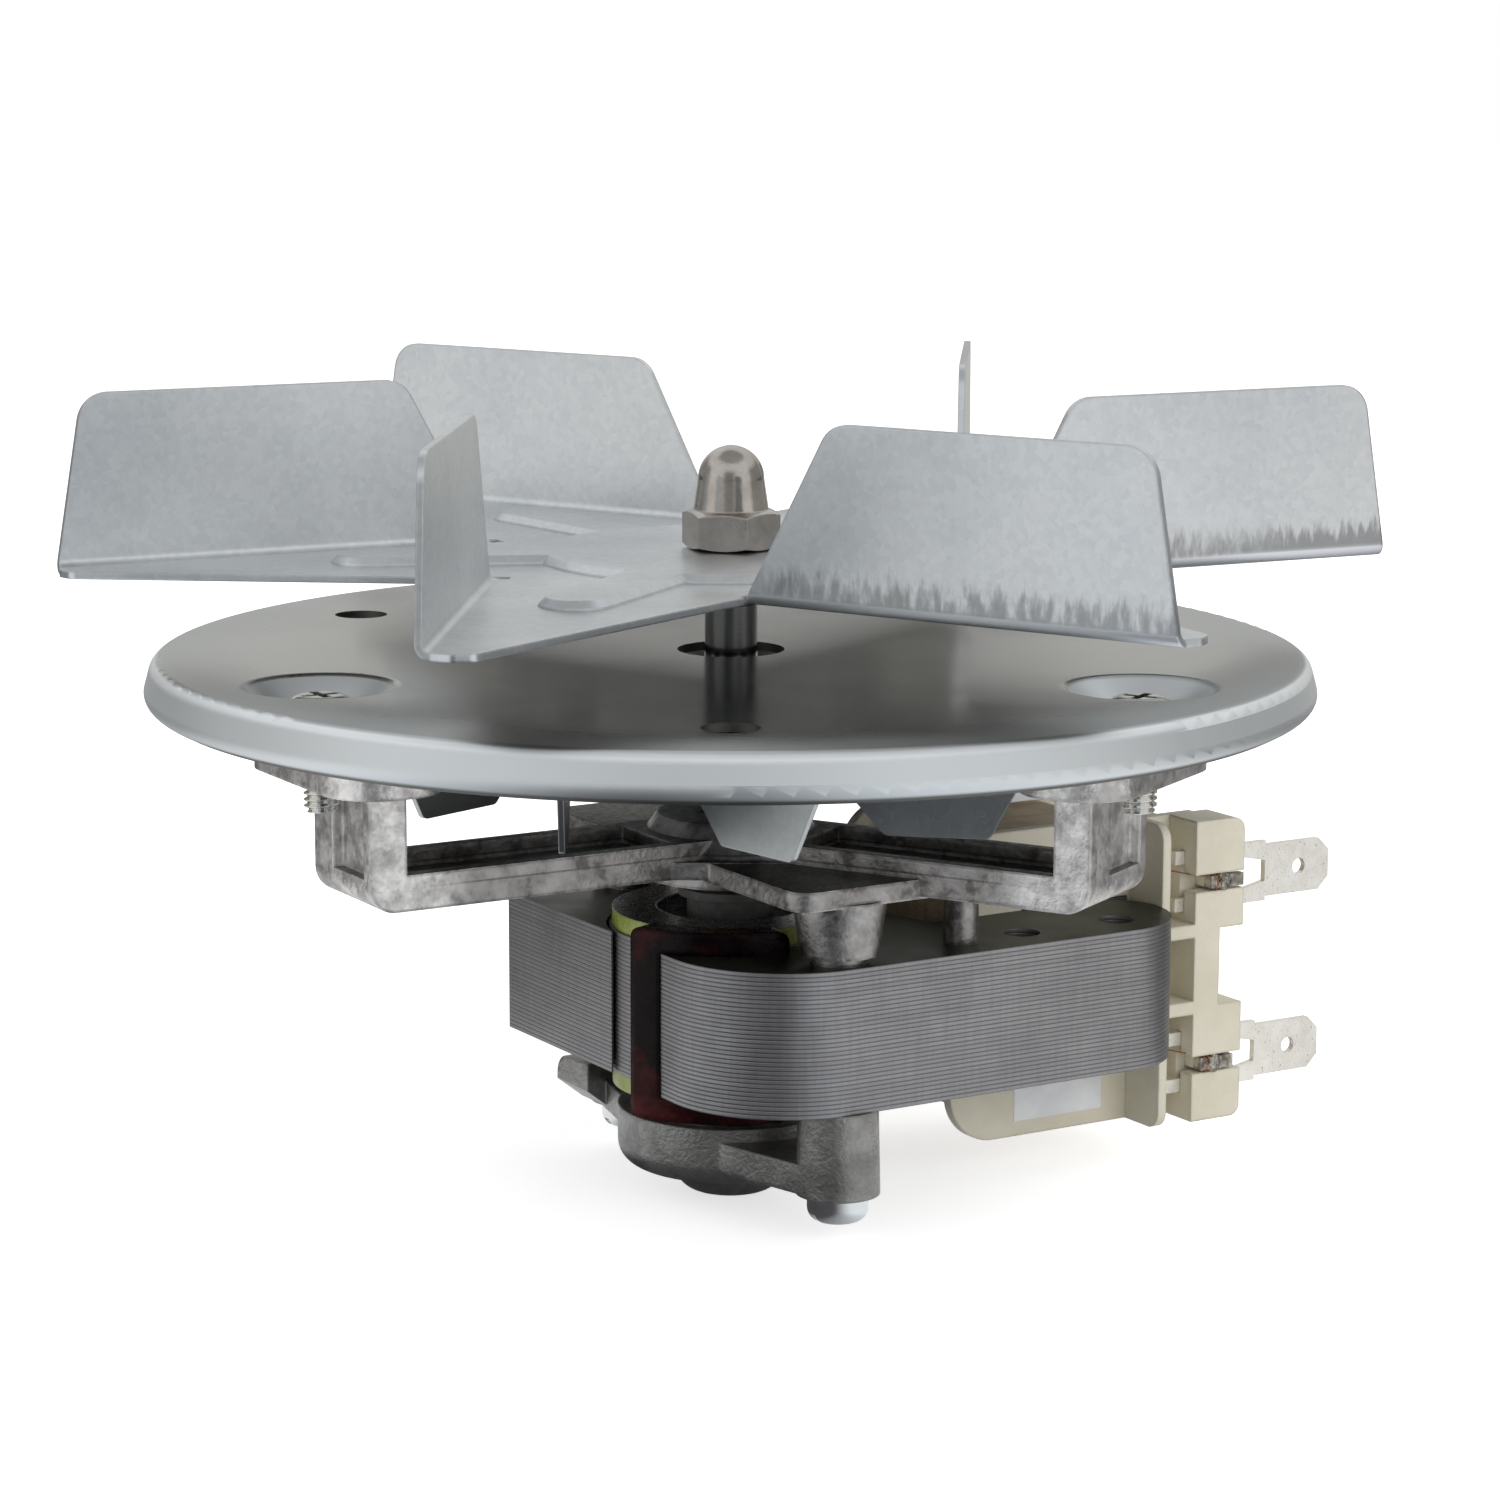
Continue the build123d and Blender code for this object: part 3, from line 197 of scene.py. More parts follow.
flatness = compute(pile, "ABSOLUTE", upright.outputs["Z"])
pile.links.new(fade(pile, flatness, *side_tilt), pile_out.inputs["Side"])

# Grain of cast, rolled or moulded surfaces: Broad is slow mottling, Fine is small specks
grain, grain_in, grain_out = new_group(
    "grain",
    [("Broad size", "Float", 6 * mm), ("Fine size", "Float", 0.5 * mm)],
    [("Broad", "Float"), ("Fine", "Float")],
)
grain_where = add_node(grain, "TexCoord")
for label, size_label, detail in (("Broad", "Broad size", 4.0), ("Fine", "Fine size", 2.0)):
    noise = add_node(grain, "TexNoise", {"Detail": detail, "Roughness": 0.6})
    grain.links.new(grain_where.outputs["Object"], noise.inputs["Vector"])
    scale = compute(grain, "DIVIDE", 1.0, grain_in.outputs[size_label])
    grain.links.new(scale, noise.inputs["Scale"])
    grain.links.new(span(grain, noise.outputs[0], noise_low, noise_high), grain_out.inputs[label])


def use_grain(tree, broad_size, fine_size):
    """The grain's Broad and Fine outputs, for spots of two sizes."""
    made = use_group(tree, grain, {"Broad size": broad_size, "Fine size": fine_size})
    return made.outputs["Broad"], made.outputs["Fine"]


def grained(name, metallic, sizes, colours, rough, bump=0.0, edge=0.0, specular=0.5,
            tint="Broad", dull="Fine", relief="Fine"):
    """A material made of grain alone.

    sizes, colours and rough are pairs; tint, dull and relief say which of the grain's
    outputs mixes the colours, spreads the roughness and raises the bumps.
    """
    material, tree, shader = new_material(name, rough[0], metallic)
    outputs = dict(zip(("Broad", "Fine"), use_grain(tree, *sizes)))
    colour = blend_colours(tree, outputs[tint], *colours)
    roughness = span(tree, outputs[dull], 0.0, 1.0, *rough)
    finish_surface(tree, shader, colour, roughness, outputs[relief] if bump else None, bump, edge)
    shader.inputs["Specular IOR Level"].default_value = specular
    return material


def along(tree, direction, offset=0.0):
    """Distance along a direction in the row frame, in metres."""
    where_node = add_node(tree, "TexCoord")
    dot = add_node(tree, "VectorMath", operation="DOT_PRODUCT")
    dot.inputs[1].default_value = tuple(direction)
    tree.links.new(where_node.outputs["Object"], dot.inputs[0])
    return compute(tree, "ADD", dot.outputs["Value"], offset)


def from_axis(tree):
    """Distance from the shaft axis, in metres."""
    squares = [compute(tree, "POWER", along(tree, side), 2.0) for side in ((1, 0, 0), (0, 1, 0))]
    return compute(tree, "SQRT", compute(tree, "ADD", *squares))


def face_up(tree, output="True Normal"):
    """How far the surface faces up: 1 on a level top, -1 on an underside."""
    facing = add_node(tree, "NewGeometry")
    parts = add_node(tree, "SeparateXYZ")
    tree.links.new(facing.outputs[output], parts.inputs[0])
    return parts.outputs["Z"]


def streaks(tree, width, stretch):
    """Upright streaks of a width, drawn out along the height by a factor."""
    where_node = add_node(tree, "TexCoord")
    squash = add_node(tree, "Mapping")
    squash.inputs["Scale"].default_value = (1 / width, 1 / width, 1 / (width * stretch))
    tree.links.new(where_node.outputs["Object"], squash.inputs["Vector"])
    noise = add_node(tree, "TexNoise", {"Scale": 1.0, "Detail": 3.0, "Roughness": 0.6})
    tree.links.new(squash.outputs[0], noise.inputs["Vector"])
    return noise.outputs[0]


def laminated(name):
    """Steel sheets seen on edge, with lacquered faces above and below."""
    material, tree, shader = new_material(name, roughness=0.42, metallic=0.9)
    edges = use_group(tree, pile)
    line = edges.outputs["Line"]
    side = edges.outputs["Side"]
    broad, fine = use_grain(tree, 9 * mm, 0.7 * mm)
    sheet_tone = span(tree, edges.outputs["Tone"], 0.0, 1.0, 0.82, 1.0)
    shear = streaks(tree, shear_width, shear_stretch)
    shear_tone = span(tree, shear, noise_low, noise_high, 0.8, 1.0)
    bright = times(tree, line, sheet_tone, shear_tone)
    edge_colour = blend_colours(tree, bright, cut_edge_dark, cut_edge_light)
    face_colour = blend_colours(tree, broad, lacquer_dark, lacquer_light)
    colour = blend_colours(tree, side, face_colour, edge_colour)
    height = compute(tree, "ADD", times(tree, line, side), times(tree, fine, 0.08))
    roughness = span(tree, broad, 0.0, 1.0, 0.38, 0.5)
    finish_surface(tree, shader, colour, roughness, height, cut_edge_depth)
    return material


dress(laminated("punched_steel"), "stator_stack", "coil_core")


# Shading rings
# A closed loop of thick copper wire round one tip of each pole, brazed at one end and
# left dark brown by the heat.
copper_dark = (0.008, 0.005, 0.005, 1)
copper_red = (0.11, 0.016, 0.016, 1)
red_patches = 0.25       # how red the patches on the ring are
red_foot = 0.9           # how red its lower end is
red_end = -49.0 * mm
red_end_half = 3 * mm
copper, tree, shader = new_material("heated_copper", roughness=0.3, metallic=0.7)
broad, fine = use_grain(tree, 7 * mm, 1.4 * mm)
patches = times(tree, span(tree, broad, 0.55, 1.0), red_patches)
foot = fade(tree, along(tree, up_dir, -red_end), -red_end_half, red_end_half, red_foot)
reddened = compute(tree, "MAXIMUM", patches, times(tree, foot, broad))
finish_surface(
    tree, shader,
    blend_colours(tree, reddened, copper_dark, copper_red),
    span(tree, fine, 0.0, 1.0, 0.2, 0.4),
    fine, depth=0.02 * mm, edge=0.9 * mm,
)
shader.inputs["Specular IOR Level"].default_value = 0.25
dress(copper, "shading_ring_front", "shading_ring_rear")


# Coil former
# One cream moulding of glass-filled plastic: a tube through the coil, two flanges, a fin
# over the stack's end and two terminal blocks joined by a spine.
cream = (0.74, 0.70, 0.58, 1)
cream_shade = (0.67, 0.63, 0.505, 1)
moulded = grained(
    "cream_moulding", metallic=0.0, sizes=(8 * mm, 0.35 * mm), colours=(cream_shade, cream),
    rough=(0.42, 0.58), bump=0.02 * mm, edge=0.5 * mm, specular=0.4)
dress(moulded, "coil_former")


# Winding and tape
# Enamelled copper wire in neat layers round the former, wrapped in tan cloth tape whose
# turns overlap by half.
wire_light = (0.50, 0.20, 0.08, 1)
wire_dark = (0.16, 0.05, 0.02, 1)
wire_pitch = 0.28 * mm
wire_depth = 0.12 * mm
tape_light = (0.55, 0.45, 0.31, 1)
tape_dark = (0.40, 0.31, 0.20, 1)
tape_step = 6.0 * mm
tape_depth = 0.12 * mm
lap_shade = 0.12         # dark share of each turn of tape, next to the one over it
weave_pitch = 0.45 * mm
weave_height = 0.3       # against the height of a lap
count_from = 0.1         # metres before the axis, where turns and threads are counted from


def ridges(tree, distance, pitch):
    """0 to 1 and back over each pitch, rounded like a row of wires."""
    part = compute(tree, "FRACT", compute(tree, "DIVIDE", distance, pitch))
    return compute(tree, "SINE", times(tree, part, pi))


winding, tree, shader = new_material("enamelled_wire", roughness=0.28, metallic=0.7)
turns = ridges(tree, along(tree, b_dir, count_from), wire_pitch)
finish_surface(
    tree, shader, blend_colours(tree, turns, wire_dark, wire_light), None, turns, wire_depth)
dress(winding, "coil_winding")

tape, tree, shader = new_material("cloth_tape", roughness=0.75, metallic=0.0)
along_coil = along(tree, b_dir, count_from)
lap = compute(tree, "FRACT", compute(tree, "DIVIDE", along_coil, tape_step))
threads = ridges(tree, along(tree, up_dir, count_from), weave_pitch)
weave = times(tree, ridges(tree, along_coil, weave_pitch), threads)
broad = use_grain(tree, 5 * mm, 0.4 * mm)[0]
shade = times(tree, broad, span(tree, lap, 0.0, lap_shade))
height = compute(tree, "ADD", times(tree, weave, weave_height), lap)
finish_surface(
    tree, shader, blend_colours(tree, shade, tape_dark, tape_light), None, height, tape_depth)
dress(tape, "coil_tape")


# Rating label
# The sticker on the former's near flange, glossy white paper, bare.
label_paper = grained(
    "bare_sticker", metallic=0.0, sizes=(5 * mm, 0.2 * mm),
    colours=((0.74, 0.75, 0.77, 1), (0.84, 0.85, 0.87, 1)), rough=(0.35, 0.35), bump=0.008 * mm)
dress(label_paper, "rating_label")


# Terminals
# Tinned brass tabs pressed from sheet, with small dark pits and scratches in the tin, and
# solder over the posts.
tin_light = (0.95, 0.93, 0.88, 1)
tin_dark = (0.84, 0.81, 0.74, 1)
tin_pit = (0.10, 0.08, 0.06, 1)
pit_share = 0.015        # how much of the speckle counts as a pit
pit_strength = 0.6
solder_bright = (0.72, 0.70, 0.64, 1)
solder_dark = (0.14, 0.12, 0.09, 1)
solder_b = -17.25 * mm   # the solder starts here and goes outwards, along b
solder_b_half = 0.1 * mm
tinned, tree, shader = new_material("tinned_brass", roughness=0.4, metallic=0.6)
broad, fine = use_grain(tree, 2.5 * mm, 0.3 * mm)
post_broad = use_grain(tree, 1.6 * mm, 0.3 * mm)[0]
tin_skin = blend_colours(tree, broad, tin_dark, tin_light)
wet_skin = blend_colours(tree, post_broad, solder_dark, solder_bright)
wetted = fade(tree, along(tree, b_dir, -solder_b), -solder_b_half, solder_b_half)
skin = blend_colours(tree, wetted, tin_skin, wet_skin)
pits = fade(tree, fine, 0.0, pit_share, pit_strength)
finish_surface(
    tree, shader,
    blend_colours(tree, pits, skin, tin_pit),
    span(tree, broad, 0.0, 1.0, 0.32, 0.5),
    fine, depth=0.015 * mm, edge=0.1 * mm,
)
dress(tinned, "terminal_upper", "terminal_lower")


# Coil leads
# One fine enamelled wire runs from the coil over the fin to each wire post, is wound
# round it and soldered. Places are in millimetres along a, b and z.
lead_r = 0.09 * mm
lead_turns = 2
lead_sides = 6
lead_starts = {"upper": (48.9, -12.9, -28.2), "lower": (48.9, -12.9, -49.9)}
lead_bends = ((51.0, -15.2, 0.2), (53.2, -18.6, 0.6))   # a, b and the drop from the start
turn_points = 8
turn_start = 0.6         # radians
turn_inset = 0.4         # first turn from the post's root
turn_advance = 0.55
post_r = 0.95 * mm
post_b = -18.2
post_heights = {"upper": -29.7, "lower": -51.65}
post_starts = {"upper": 54.8, "lower": 53.8}
blob_a = 1.9
blob_half = (1.2, 1.15, 1.2)
blob_lump = 0.16


def at(a, b, z):
    """A point in the stator's axes, given in millimetres, in the row frame in metres."""
    return a_dir * a * mm + b_dir * b * mm + Vector((0, 0, z * mm))


def show(name, mesh):
    """An object for a mesh, linked to the scene."""
    shown = bpy.data.objects.new(name, mesh)
    bpy.context.scene.collection.objects.link(shown)
    return shown


def tube(name, points, radius, material, sides):
    """A round wire along smooth points, as a mesh."""
    curve = bpy.data.curves.new(name, "CURVE")
    curve.dimensions = "3D"
    curve.bevel_depth = radius
    curve.bevel_resolution = sides // 2 - 1
    curve.use_fill_caps = True
    line = curve.splines.new("NURBS")
    line.points.add(len(points) - 1)
    for point, place_at in zip(line.points, points):
        point.co = (*place_at, 1)
    line.order_u = 3
    line.use_endpoint_u = True
    line.resolution_u = 4
    holder = show(name, curve)
    bpy.context.view_layer.update()
    shaped = holder.evaluated_get(bpy.context.evaluated_depsgraph_get())
    mesh = bpy.data.meshes.new_from_object(shaped)
    bpy.data.objects.remove(holder)
    mesh.name = name
    mesh.shade_smooth()
    mesh.materials.clear()
    mesh.materials.append(material)
    return show(name, mesh)


lead_wire = grained(
    "lead_enamel", metallic=0.5, sizes=(1.5 * mm, 0.2 * mm),
    colours=((0.36, 0.12, 0.06, 1), (0.55, 0.26, 0.15, 1)), rough=(0.3, 0.3))
solder = grained(
    "solder", metallic=1.0, sizes=(0.8 * mm, 0.3 * mm), colours=(solder_dark, solder_bright),
    rough=(0.12, 0.3), bump=0.2 * mm, relief="Broad")

for side, start in lead_starts.items():
    post_z = post_heights[side]
    post_a = post_starts[side]
    ring = post_r + lead_r
    route = [at(*start)]
    for bend_a, bend_b, drop in lead_bends:
        route.append(at(bend_a, bend_b, start[2] - drop))
    for step in range(lead_turns * turn_points + 1):
        turn = 2 * pi * step / turn_points + turn_start
        out = post_a + turn_inset + turn_advance * step / turn_points
        route.append(at(out, post_b + ring * cos(turn) / mm, post_z + ring * sin(turn) / mm))
    lead = tube("coil_lead_" + side, route, lead_r, lead_wire, lead_sides)
    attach(lead, "motor_frame")

    blob = bmesh.new()
    bmesh.ops.create_icosphere(blob, subdivisions=4, radius=1.0)
    for vertex in blob.verts:
        lump = 1 + blob_lump * sin(3 * vertex.co.x + 2 * vertex.co.z) * cos(4 * vertex.co.y)
        reach = Vector((vertex.co[i] * lump * blob_half[i] for i in range(3)))
        vertex.co = at(post_a + blob_a + reach.x, post_b + reach.y, post_z + reach.z)
    blob_mesh = bpy.data.meshes.new("solder_" + side)
    blob.to_mesh(blob_mesh)
    blob.free()
    blob_mesh.shade_smooth()
    blob_mesh.materials.append(solder)
    joint = show("solder_" + side, blob_mesh)
    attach(joint, "motor_frame")


# Rotor
# Punched sheets on the shaft with a cast aluminium cage; the end rings were dipped, and the
# varnish has run over their rims in yellow and green.
dress(laminated("rotor_sheets"), "rotor_core")

varnish_green = (0.20, 0.27, 0.008, 1)
varnish_pale = (0.40, 0.44, 0.12, 1)
varnish_from = 11 * mm   # distance from the axis
varnish_full = 12 * mm
ring_bright = (0.36, 0.365, 0.37, 1)
ring_grey = (0.24, 0.25, 0.26, 1)
cage, tree, shader = new_material("cast_cage", roughness=0.3, metallic=0.9)
broad, fine = use_grain(tree, 5 * mm, 0.4 * mm)
metal = blend_colours(tree, broad, ring_grey, ring_bright)
varnish = blend_colours(tree, broad, varnish_green, varnish_pale)
rim = span(tree, from_axis(tree), varnish_from, varnish_full)
dipped = times(tree, use_group(tree, pile).outputs["Side"], rim)
finish_surface(
    tree, shader,
    blend_colours(tree, dipped, metal, varnish),
    span(tree, fine, 0.0, 1.0, 0.24, 0.34),
    fine, depth=0.006 * mm, edge=0.3 * mm,
)
tree.links.new(fade(tree, dipped, 0.0, 1.0, 0.95), shader.inputs["Metallic"])
dress(cage, "rotor_cage")

plain_washer = grained(
    "moulded_washer", metallic=0.0, sizes=(2 * mm, 0.2 * mm),
    colours=((0.09, 0.09, 0.09, 1), (0.14, 0.14, 0.13, 1)), rough=(0.45, 0.45),
    bump=0.01 * mm, edge=0.2 * mm)
dress(plain_washer, "thrust_washer_front", "thrust_washer_rear", "spacer_front", "spacer_rear")


# Shaft
# Ground steel rod; the grinding leaves fine rings round it, and a ring groove stands just
# below the impeller.
shaft_ring = 0.12 * mm
ground, tree, shader = new_material("ground_steel", roughness=0.2, metallic=1.0)
rings = add_node(tree, "TexNoise", {"Scale": 1 / shaft_ring, "Detail": 2.0}, noise_dimensions="1D")
tree.links.new(along(tree, up_dir), rings.inputs["W"])
finish_surface(
    tree, shader,
    blend_colours(tree, rings.outputs[0], (0.10, 0.10, 0.10, 1), (0.15, 0.15, 0.147, 1)),
    span(tree, rings.outputs[0], noise_low, noise_high, 0.16, 0.24),
    rings.outputs[0], depth=0.001 * mm, edge=0.2 * mm,
)
dress(ground, "motor_shaft", "cooling_fan_hub", "front_bearing_clip", "rear_bearing_clip")


# Bearings
# Oiled porous bronze bushes that turn in the castings, each with a felt ring that keeps
# its oil.
bronze = grained(
    "oiled_bronze", metallic=0.9, sizes=(2 * mm, 0.12 * mm),
    colours=((0.22, 0.13, 0.05, 1), (0.45, 0.30, 0.14, 1)), rough=(0.42, 0.42),
    bump=0.02 * mm, tint="Fine")
dress(bronze, "front_bearing", "rear_bearing")

felt = grained(
    "oiled_felt", metallic=0.0, sizes=(1.5 * mm, 0.15 * mm),
    colours=((0.20, 0.16, 0.10, 1), (0.34, 0.28, 0.19, 1)), rough=(0.9, 0.9),
    bump=0.1 * mm, tint="Fine")
dress(felt, "front_oil_felt", "rear_oil_felt")


# Front and rear brackets
# Pressure-die-cast alloy, mottled where the metal chilled against the die, with dark lines where
# the two halves of the die met. Painted highlights lie on the outer edges; on the front bracket, painted
# shade lies on the faces turned up and painted light towards the legs.
cast_light = (0.48, 0.46, 0.445, 1)
cast_mid = (0.24, 0.225, 0.215, 1)
cast_dark = (0.07, 0.06, 0.058, 1)
cast_upper_painted_shade = (0.09, 0.085, 0.085, 1)
cast_edge_highlight = (0.84, 0.82, 0.81, 1)
upper_tilt = (0.8, 0.95)
upper_strength = 0.85
stain_strength = 0.5
leg_painted_light = (0.90, 0.875, 0.85, 1)
leg_from = 36 * mm       # distance from the axis where the castings pale towards the legs
leg_full = 43 * mm
rear_light = (0.36, 0.35, 0.335, 1)
rear_dark = (0.20, 0.195, 0.185, 1)
rear_edge_highlight = (0.50, 0.50, 0.48, 1)
parting_z = -21.8 * mm
parting_half = 0.16 * mm
parting_strength = 0.55

# Painted edge highlight: 1 where a rounded copy of the surface leaves the true one, along outer edges
highlight_agreement = (0.80, 0.985)
edge_highlight_group, edge_highlight_in, edge_highlight_out = new_group(
    "painted_edge_highlight", [("Radius", "Float", 0.4 * mm), ("Breakup size", "Float", 1.2 * mm)],
    [("Highlight", "Float")])
round_off = add_node(edge_highlight_group, "Bevel", samples=6)
edge_highlight_group.links.new(edge_highlight_in.outputs["Radius"], round_off.inputs["Radius"])
true_face = add_node(edge_highlight_group, "NewGeometry")
agree = add_node(edge_highlight_group, "VectorMath", operation="DOT_PRODUCT")
edge_highlight_group.links.new(round_off.outputs[0], agree.inputs[0])
edge_highlight_group.links.new(true_face.outputs["Normal"], agree.inputs[1])
breakup_where = add_node(edge_highlight_group, "TexCoord")
breakup = add_node(edge_highlight_group, "TexNoise", {"Detail": 3.0})
edge_highlight_group.links.new(breakup_where.outputs["Object"], breakup.inputs["Vector"])
breakup_scale = compute(edge_highlight_group, "DIVIDE", 1.0, edge_highlight_in.outputs["Breakup size"])
edge_highlight_group.links.new(breakup_scale, breakup.inputs["Scale"])
bent = fade(edge_highlight_group, agree.outputs["Value"], *highlight_agreement)
broken = times(edge_highlight_group, bent, span(edge_highlight_group, breakup.outputs[0], noise_low, 0.6))
edge_highlight_group.links.new(broken, edge_highlight_out.inputs["Highlight"])


def use_painted_edge_highlight(tree, radius, breakup_size, strength):
    """Painted highlight on edges of a radius, broken up by spots of a size."""
    made = use_group(tree, edge_highlight_group, {"Radius": radius, "Breakup size": breakup_size})
    return times(tree, made.outputs["Highlight"], strength)


die_cast, tree, shader = new_material("die_cast", roughness=0.42, metallic=0.9)
broad, fine = use_grain(tree, 3.0 * mm, 0.8 * mm)
mottle = times(tree, broad, span(tree, fine, 0.0, 1.0, 0.55, 1.0))
colour = blend_colours(tree, mottle, cast_mid, cast_light)
stain = fade(tree, broad, 0.0, 0.3, stain_strength)
colour = blend_colours(tree, stain, colour, cast_dark)
off_line = compute(tree, "ABSOLUTE", along(tree, up_dir, -parting_z))
seam = fade(tree, off_line, parting_half * 0.4, parting_half, parting_strength)
colour = blend_colours(tree, seam, colour, cast_dark)
# Painted light: the casting is painted paler towards the legs, out from under the disc
legs = span(tree, from_axis(tree), leg_from, leg_full)
legs = times(tree, legs, span(tree, broad, 0.0, 1.0, 0.45, 1.0))
colour = blend_colours(tree, legs, colour, leg_painted_light)
# Painted highlight: the outer edges are painted pale
edge_highlight_mask = use_painted_edge_highlight(tree, radius=0.45 * mm, breakup_size=1.5 * mm, strength=0.7)
colour = blend_colours(tree, edge_highlight_mask, colour, cast_edge_highlight)
# Painted shade: the faces turned up, under the disc, are painted dark
upper = span(tree, face_up(tree), *upper_tilt, 0.0, upper_strength)
colour = blend_colours(tree, upper, colour, cast_upper_painted_shade)
height = compute(tree, "ADD", times(tree, fine, 0.4), broad)
roughness = span(tree, fine, 0.0, 1.0, 0.34, 0.46)
finish_surface(tree, shader, colour, roughness, height, depth=0.05 * mm, edge=0.6 * mm)
dress(die_cast, "front_bracket")

rear_cast, tree, shader = new_material("rear_casting", roughness=0.42, metallic=0.85)
broad, fine = use_grain(tree, 5 * mm, 0.5 * mm)
colour = blend_colours(tree, broad, rear_dark, rear_light)
# Painted highlight: the outer edges are painted pale
edge_highlight_mask = use_painted_edge_highlight(tree, radius=0.4 * mm, breakup_size=1.2 * mm, strength=0.5)
colour = blend_colours(tree, edge_highlight_mask, colour, rear_edge_highlight)
roughness = span(tree, fine, 0.0, 1.0, 0.36, 0.46)
finish_surface(tree, shader, colour, roughness, fine, depth=0.03 * mm, edge=0.5 * mm)
dress(rear_cast, "rear_bracket")


# Stator screws and disc screws
# Zinc-plated steel. The disc screws get a rolled M4 thread here, because its end stands
# out under each foot; their heads come from the CAD.
screw_zinc = (0.80, 0.81, 0.80, 1)
screw_yellow = (0.74, 0.73, 0.68, 1)
zinc = grained(
    "zinc_plate", metallic=1.0, sizes=(6 * mm, 0.3 * mm), colours=(screw_yellow, screw_zinc),
    rough=(0.14, 0.24), bump=0.002 * mm, edge=0.15 * mm, dull="Broad")
dress(zinc, "stator_screws")

thread_pitch = 0.7 * mm
thread_out = 1.98 * mm
thread_root = 1.58 * mm
thread_low = -13.78 * mm
thread_high = -10.2 * mm
thread_points = 28
tip_share = 0.82
bolt_circle = 51.0 * mm
screw_azimuths = (90, 210, 330)


def screw_thread(mesh, centre, low, high, pitch, outer, root, points):
    """A rolled thread wound up from low to high, its first turn drawn in to a flat tip."""
    profile = ((0.0, root), (0.35, outer), (0.5, outer), (0.85, root))
    rows = []
    for step in range(int((high - low) / pitch * points) + points):
        turn = 2 * pi * step / points
        row = []
        for rise, radius in profile:
            z = low + pitch * (step / points - 1 + rise)
            drawn_in = min(1.0, tip_share + (1 - tip_share) * max(0.0, z - low) / pitch)
            reach = radius * drawn_in
            row.append(mesh.verts.new(
                centre + Vector((reach * cos(turn), reach * sin(turn), max(low, min(high, z))))))
        rows.append(row)
    for index in range(len(rows) - 1):
        here = rows[index]
        after = rows[index + 1]
        for part in range(len(profile) - 1):
            mesh.faces.new((here[part], after[part], after[part + 1], here[part + 1]))
        if index + 1 + points < len(rows):
            over = rows[index + points]
            over_after = rows[index + 1 + points]
            mesh.faces.new((here[-1], after[-1], over_after[0], over[0]))
    tip = []
    for index in range(points):
        turn = 2 * pi * index / points
        reach = root * tip_share
        tip.append(mesh.verts.new(centre + Vector((reach * cos(turn), reach * sin(turn), low))))
    mesh.faces.new(list(reversed(tip)))


screws = bmesh.new()
screws.from_mesh(nodes["disc_screws"].data)
bmesh.ops.bisect_plane(
    screws, geom=screws.verts[:] + screws.edges[:] + screws.faces[:],
    plane_co=(0, 0, thread_high), plane_no=(0, 0, 1), clear_inner=True)
for screw_azimuth in screw_azimuths:
    turn = radians(screw_azimuth)
    screw_thread(
        screws, Vector((bolt_circle * cos(turn), bolt_circle * sin(turn), 0)),
        thread_low, thread_high, thread_pitch, thread_out, thread_root, thread_points)
screw_mesh = bpy.data.meshes.new("threaded_screws")
screws.to_mesh(screw_mesh)
screws.free()
screw_mesh.materials.append(zinc)
screw_piece = show("threaded_screws", screw_mesh)
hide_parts("disc_screws")
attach(screw_piece, "motor_frame")


# Mounting disc, cooling fan and impeller
# Galvanised sheet: a bluish grey zinc skin with fine crystals, drawn, folded and
# embossed cold. The skin is scuffed in upright streaks where the press held two blades.
zinc_light = (0.81, 0.825, 0.83, 1)
zinc_grey = (0.54, 0.565, 0.585, 1)
disc_light = (0.54, 0.55, 0.545, 1)
disc_grey = (0.47, 0.485, 0.485, 1)
rim_painted_light = (0.80, 0.83, 0.84, 1)
rim_painted_highlight = (0.97, 0.99, 1.0, 1)
rim_from = 59 * mm       # distances from the axis
rim_full = 63 * mm
dull_from = 50 * mm
dull_full = 63 * mm
edge_dulling = 0.2
skirt_dulling = 0.34
skirt_cover = 0.9
skirt_tilt = (0.75, 0.97)        # tilts are the upward share of the normal
wall_tilt = (0.1, 0.2)
under_tilt = (-0.95, -0.6)
shoulder_low = (0.3, 0.6)
shoulder_high = (0.8, 0.96)
shoulder_strength = 0.8
level_tilt = (0.9990, 0.9998)
fan_light = (0.54, 0.565, 0.57, 1)
fan_grey = (0.40, 0.425, 0.43, 1)
painted_underside_shade = (0.10, 0.095, 0.085, 1)
impeller_painted_underside_shade = (0.27, 0.265, 0.25, 1)

# Crystals: Tone differs from crystal to crystal, Cloud is slow staining
crystals, crystals_in, crystals_out = new_group(
    "zinc_crystals", [("Size", "Float", 0.8 * mm), ("Cloud size", "Float", 22 * mm)],
    [("Tone", "Float"), ("Cloud", "Float")])
crystal_where = add_node(crystals, "TexCoord")
cells = add_node(crystals, "TexVoronoi", {"Randomness": 1.0})
speck = add_node(crystals, "TexNoise", {"Detail": 3.0})
cloud = add_node(crystals, "TexNoise", {"Detail": 2.0, "Roughness": 0.5})
for texture, size_label, share in (
        (cells, "Size", 1.0), (speck, "Size", 1.6), (cloud, "Cloud size", 1.0)):
    crystals.links.new(crystal_where.outputs["Object"], texture.inputs["Vector"])
    scale = compute(crystals, "DIVIDE", share, crystals_in.outputs[size_label])
    crystals.links.new(scale, texture.inputs["Scale"])
cell_tone = add_node(crystals, "SeparateColor")
crystals.links.new(cells.outputs["Color"], cell_tone.inputs[0])
crystals.links.new(span(crystals, cloud.outputs[0], noise_low, noise_high), crystals_out.inputs["Cloud"])
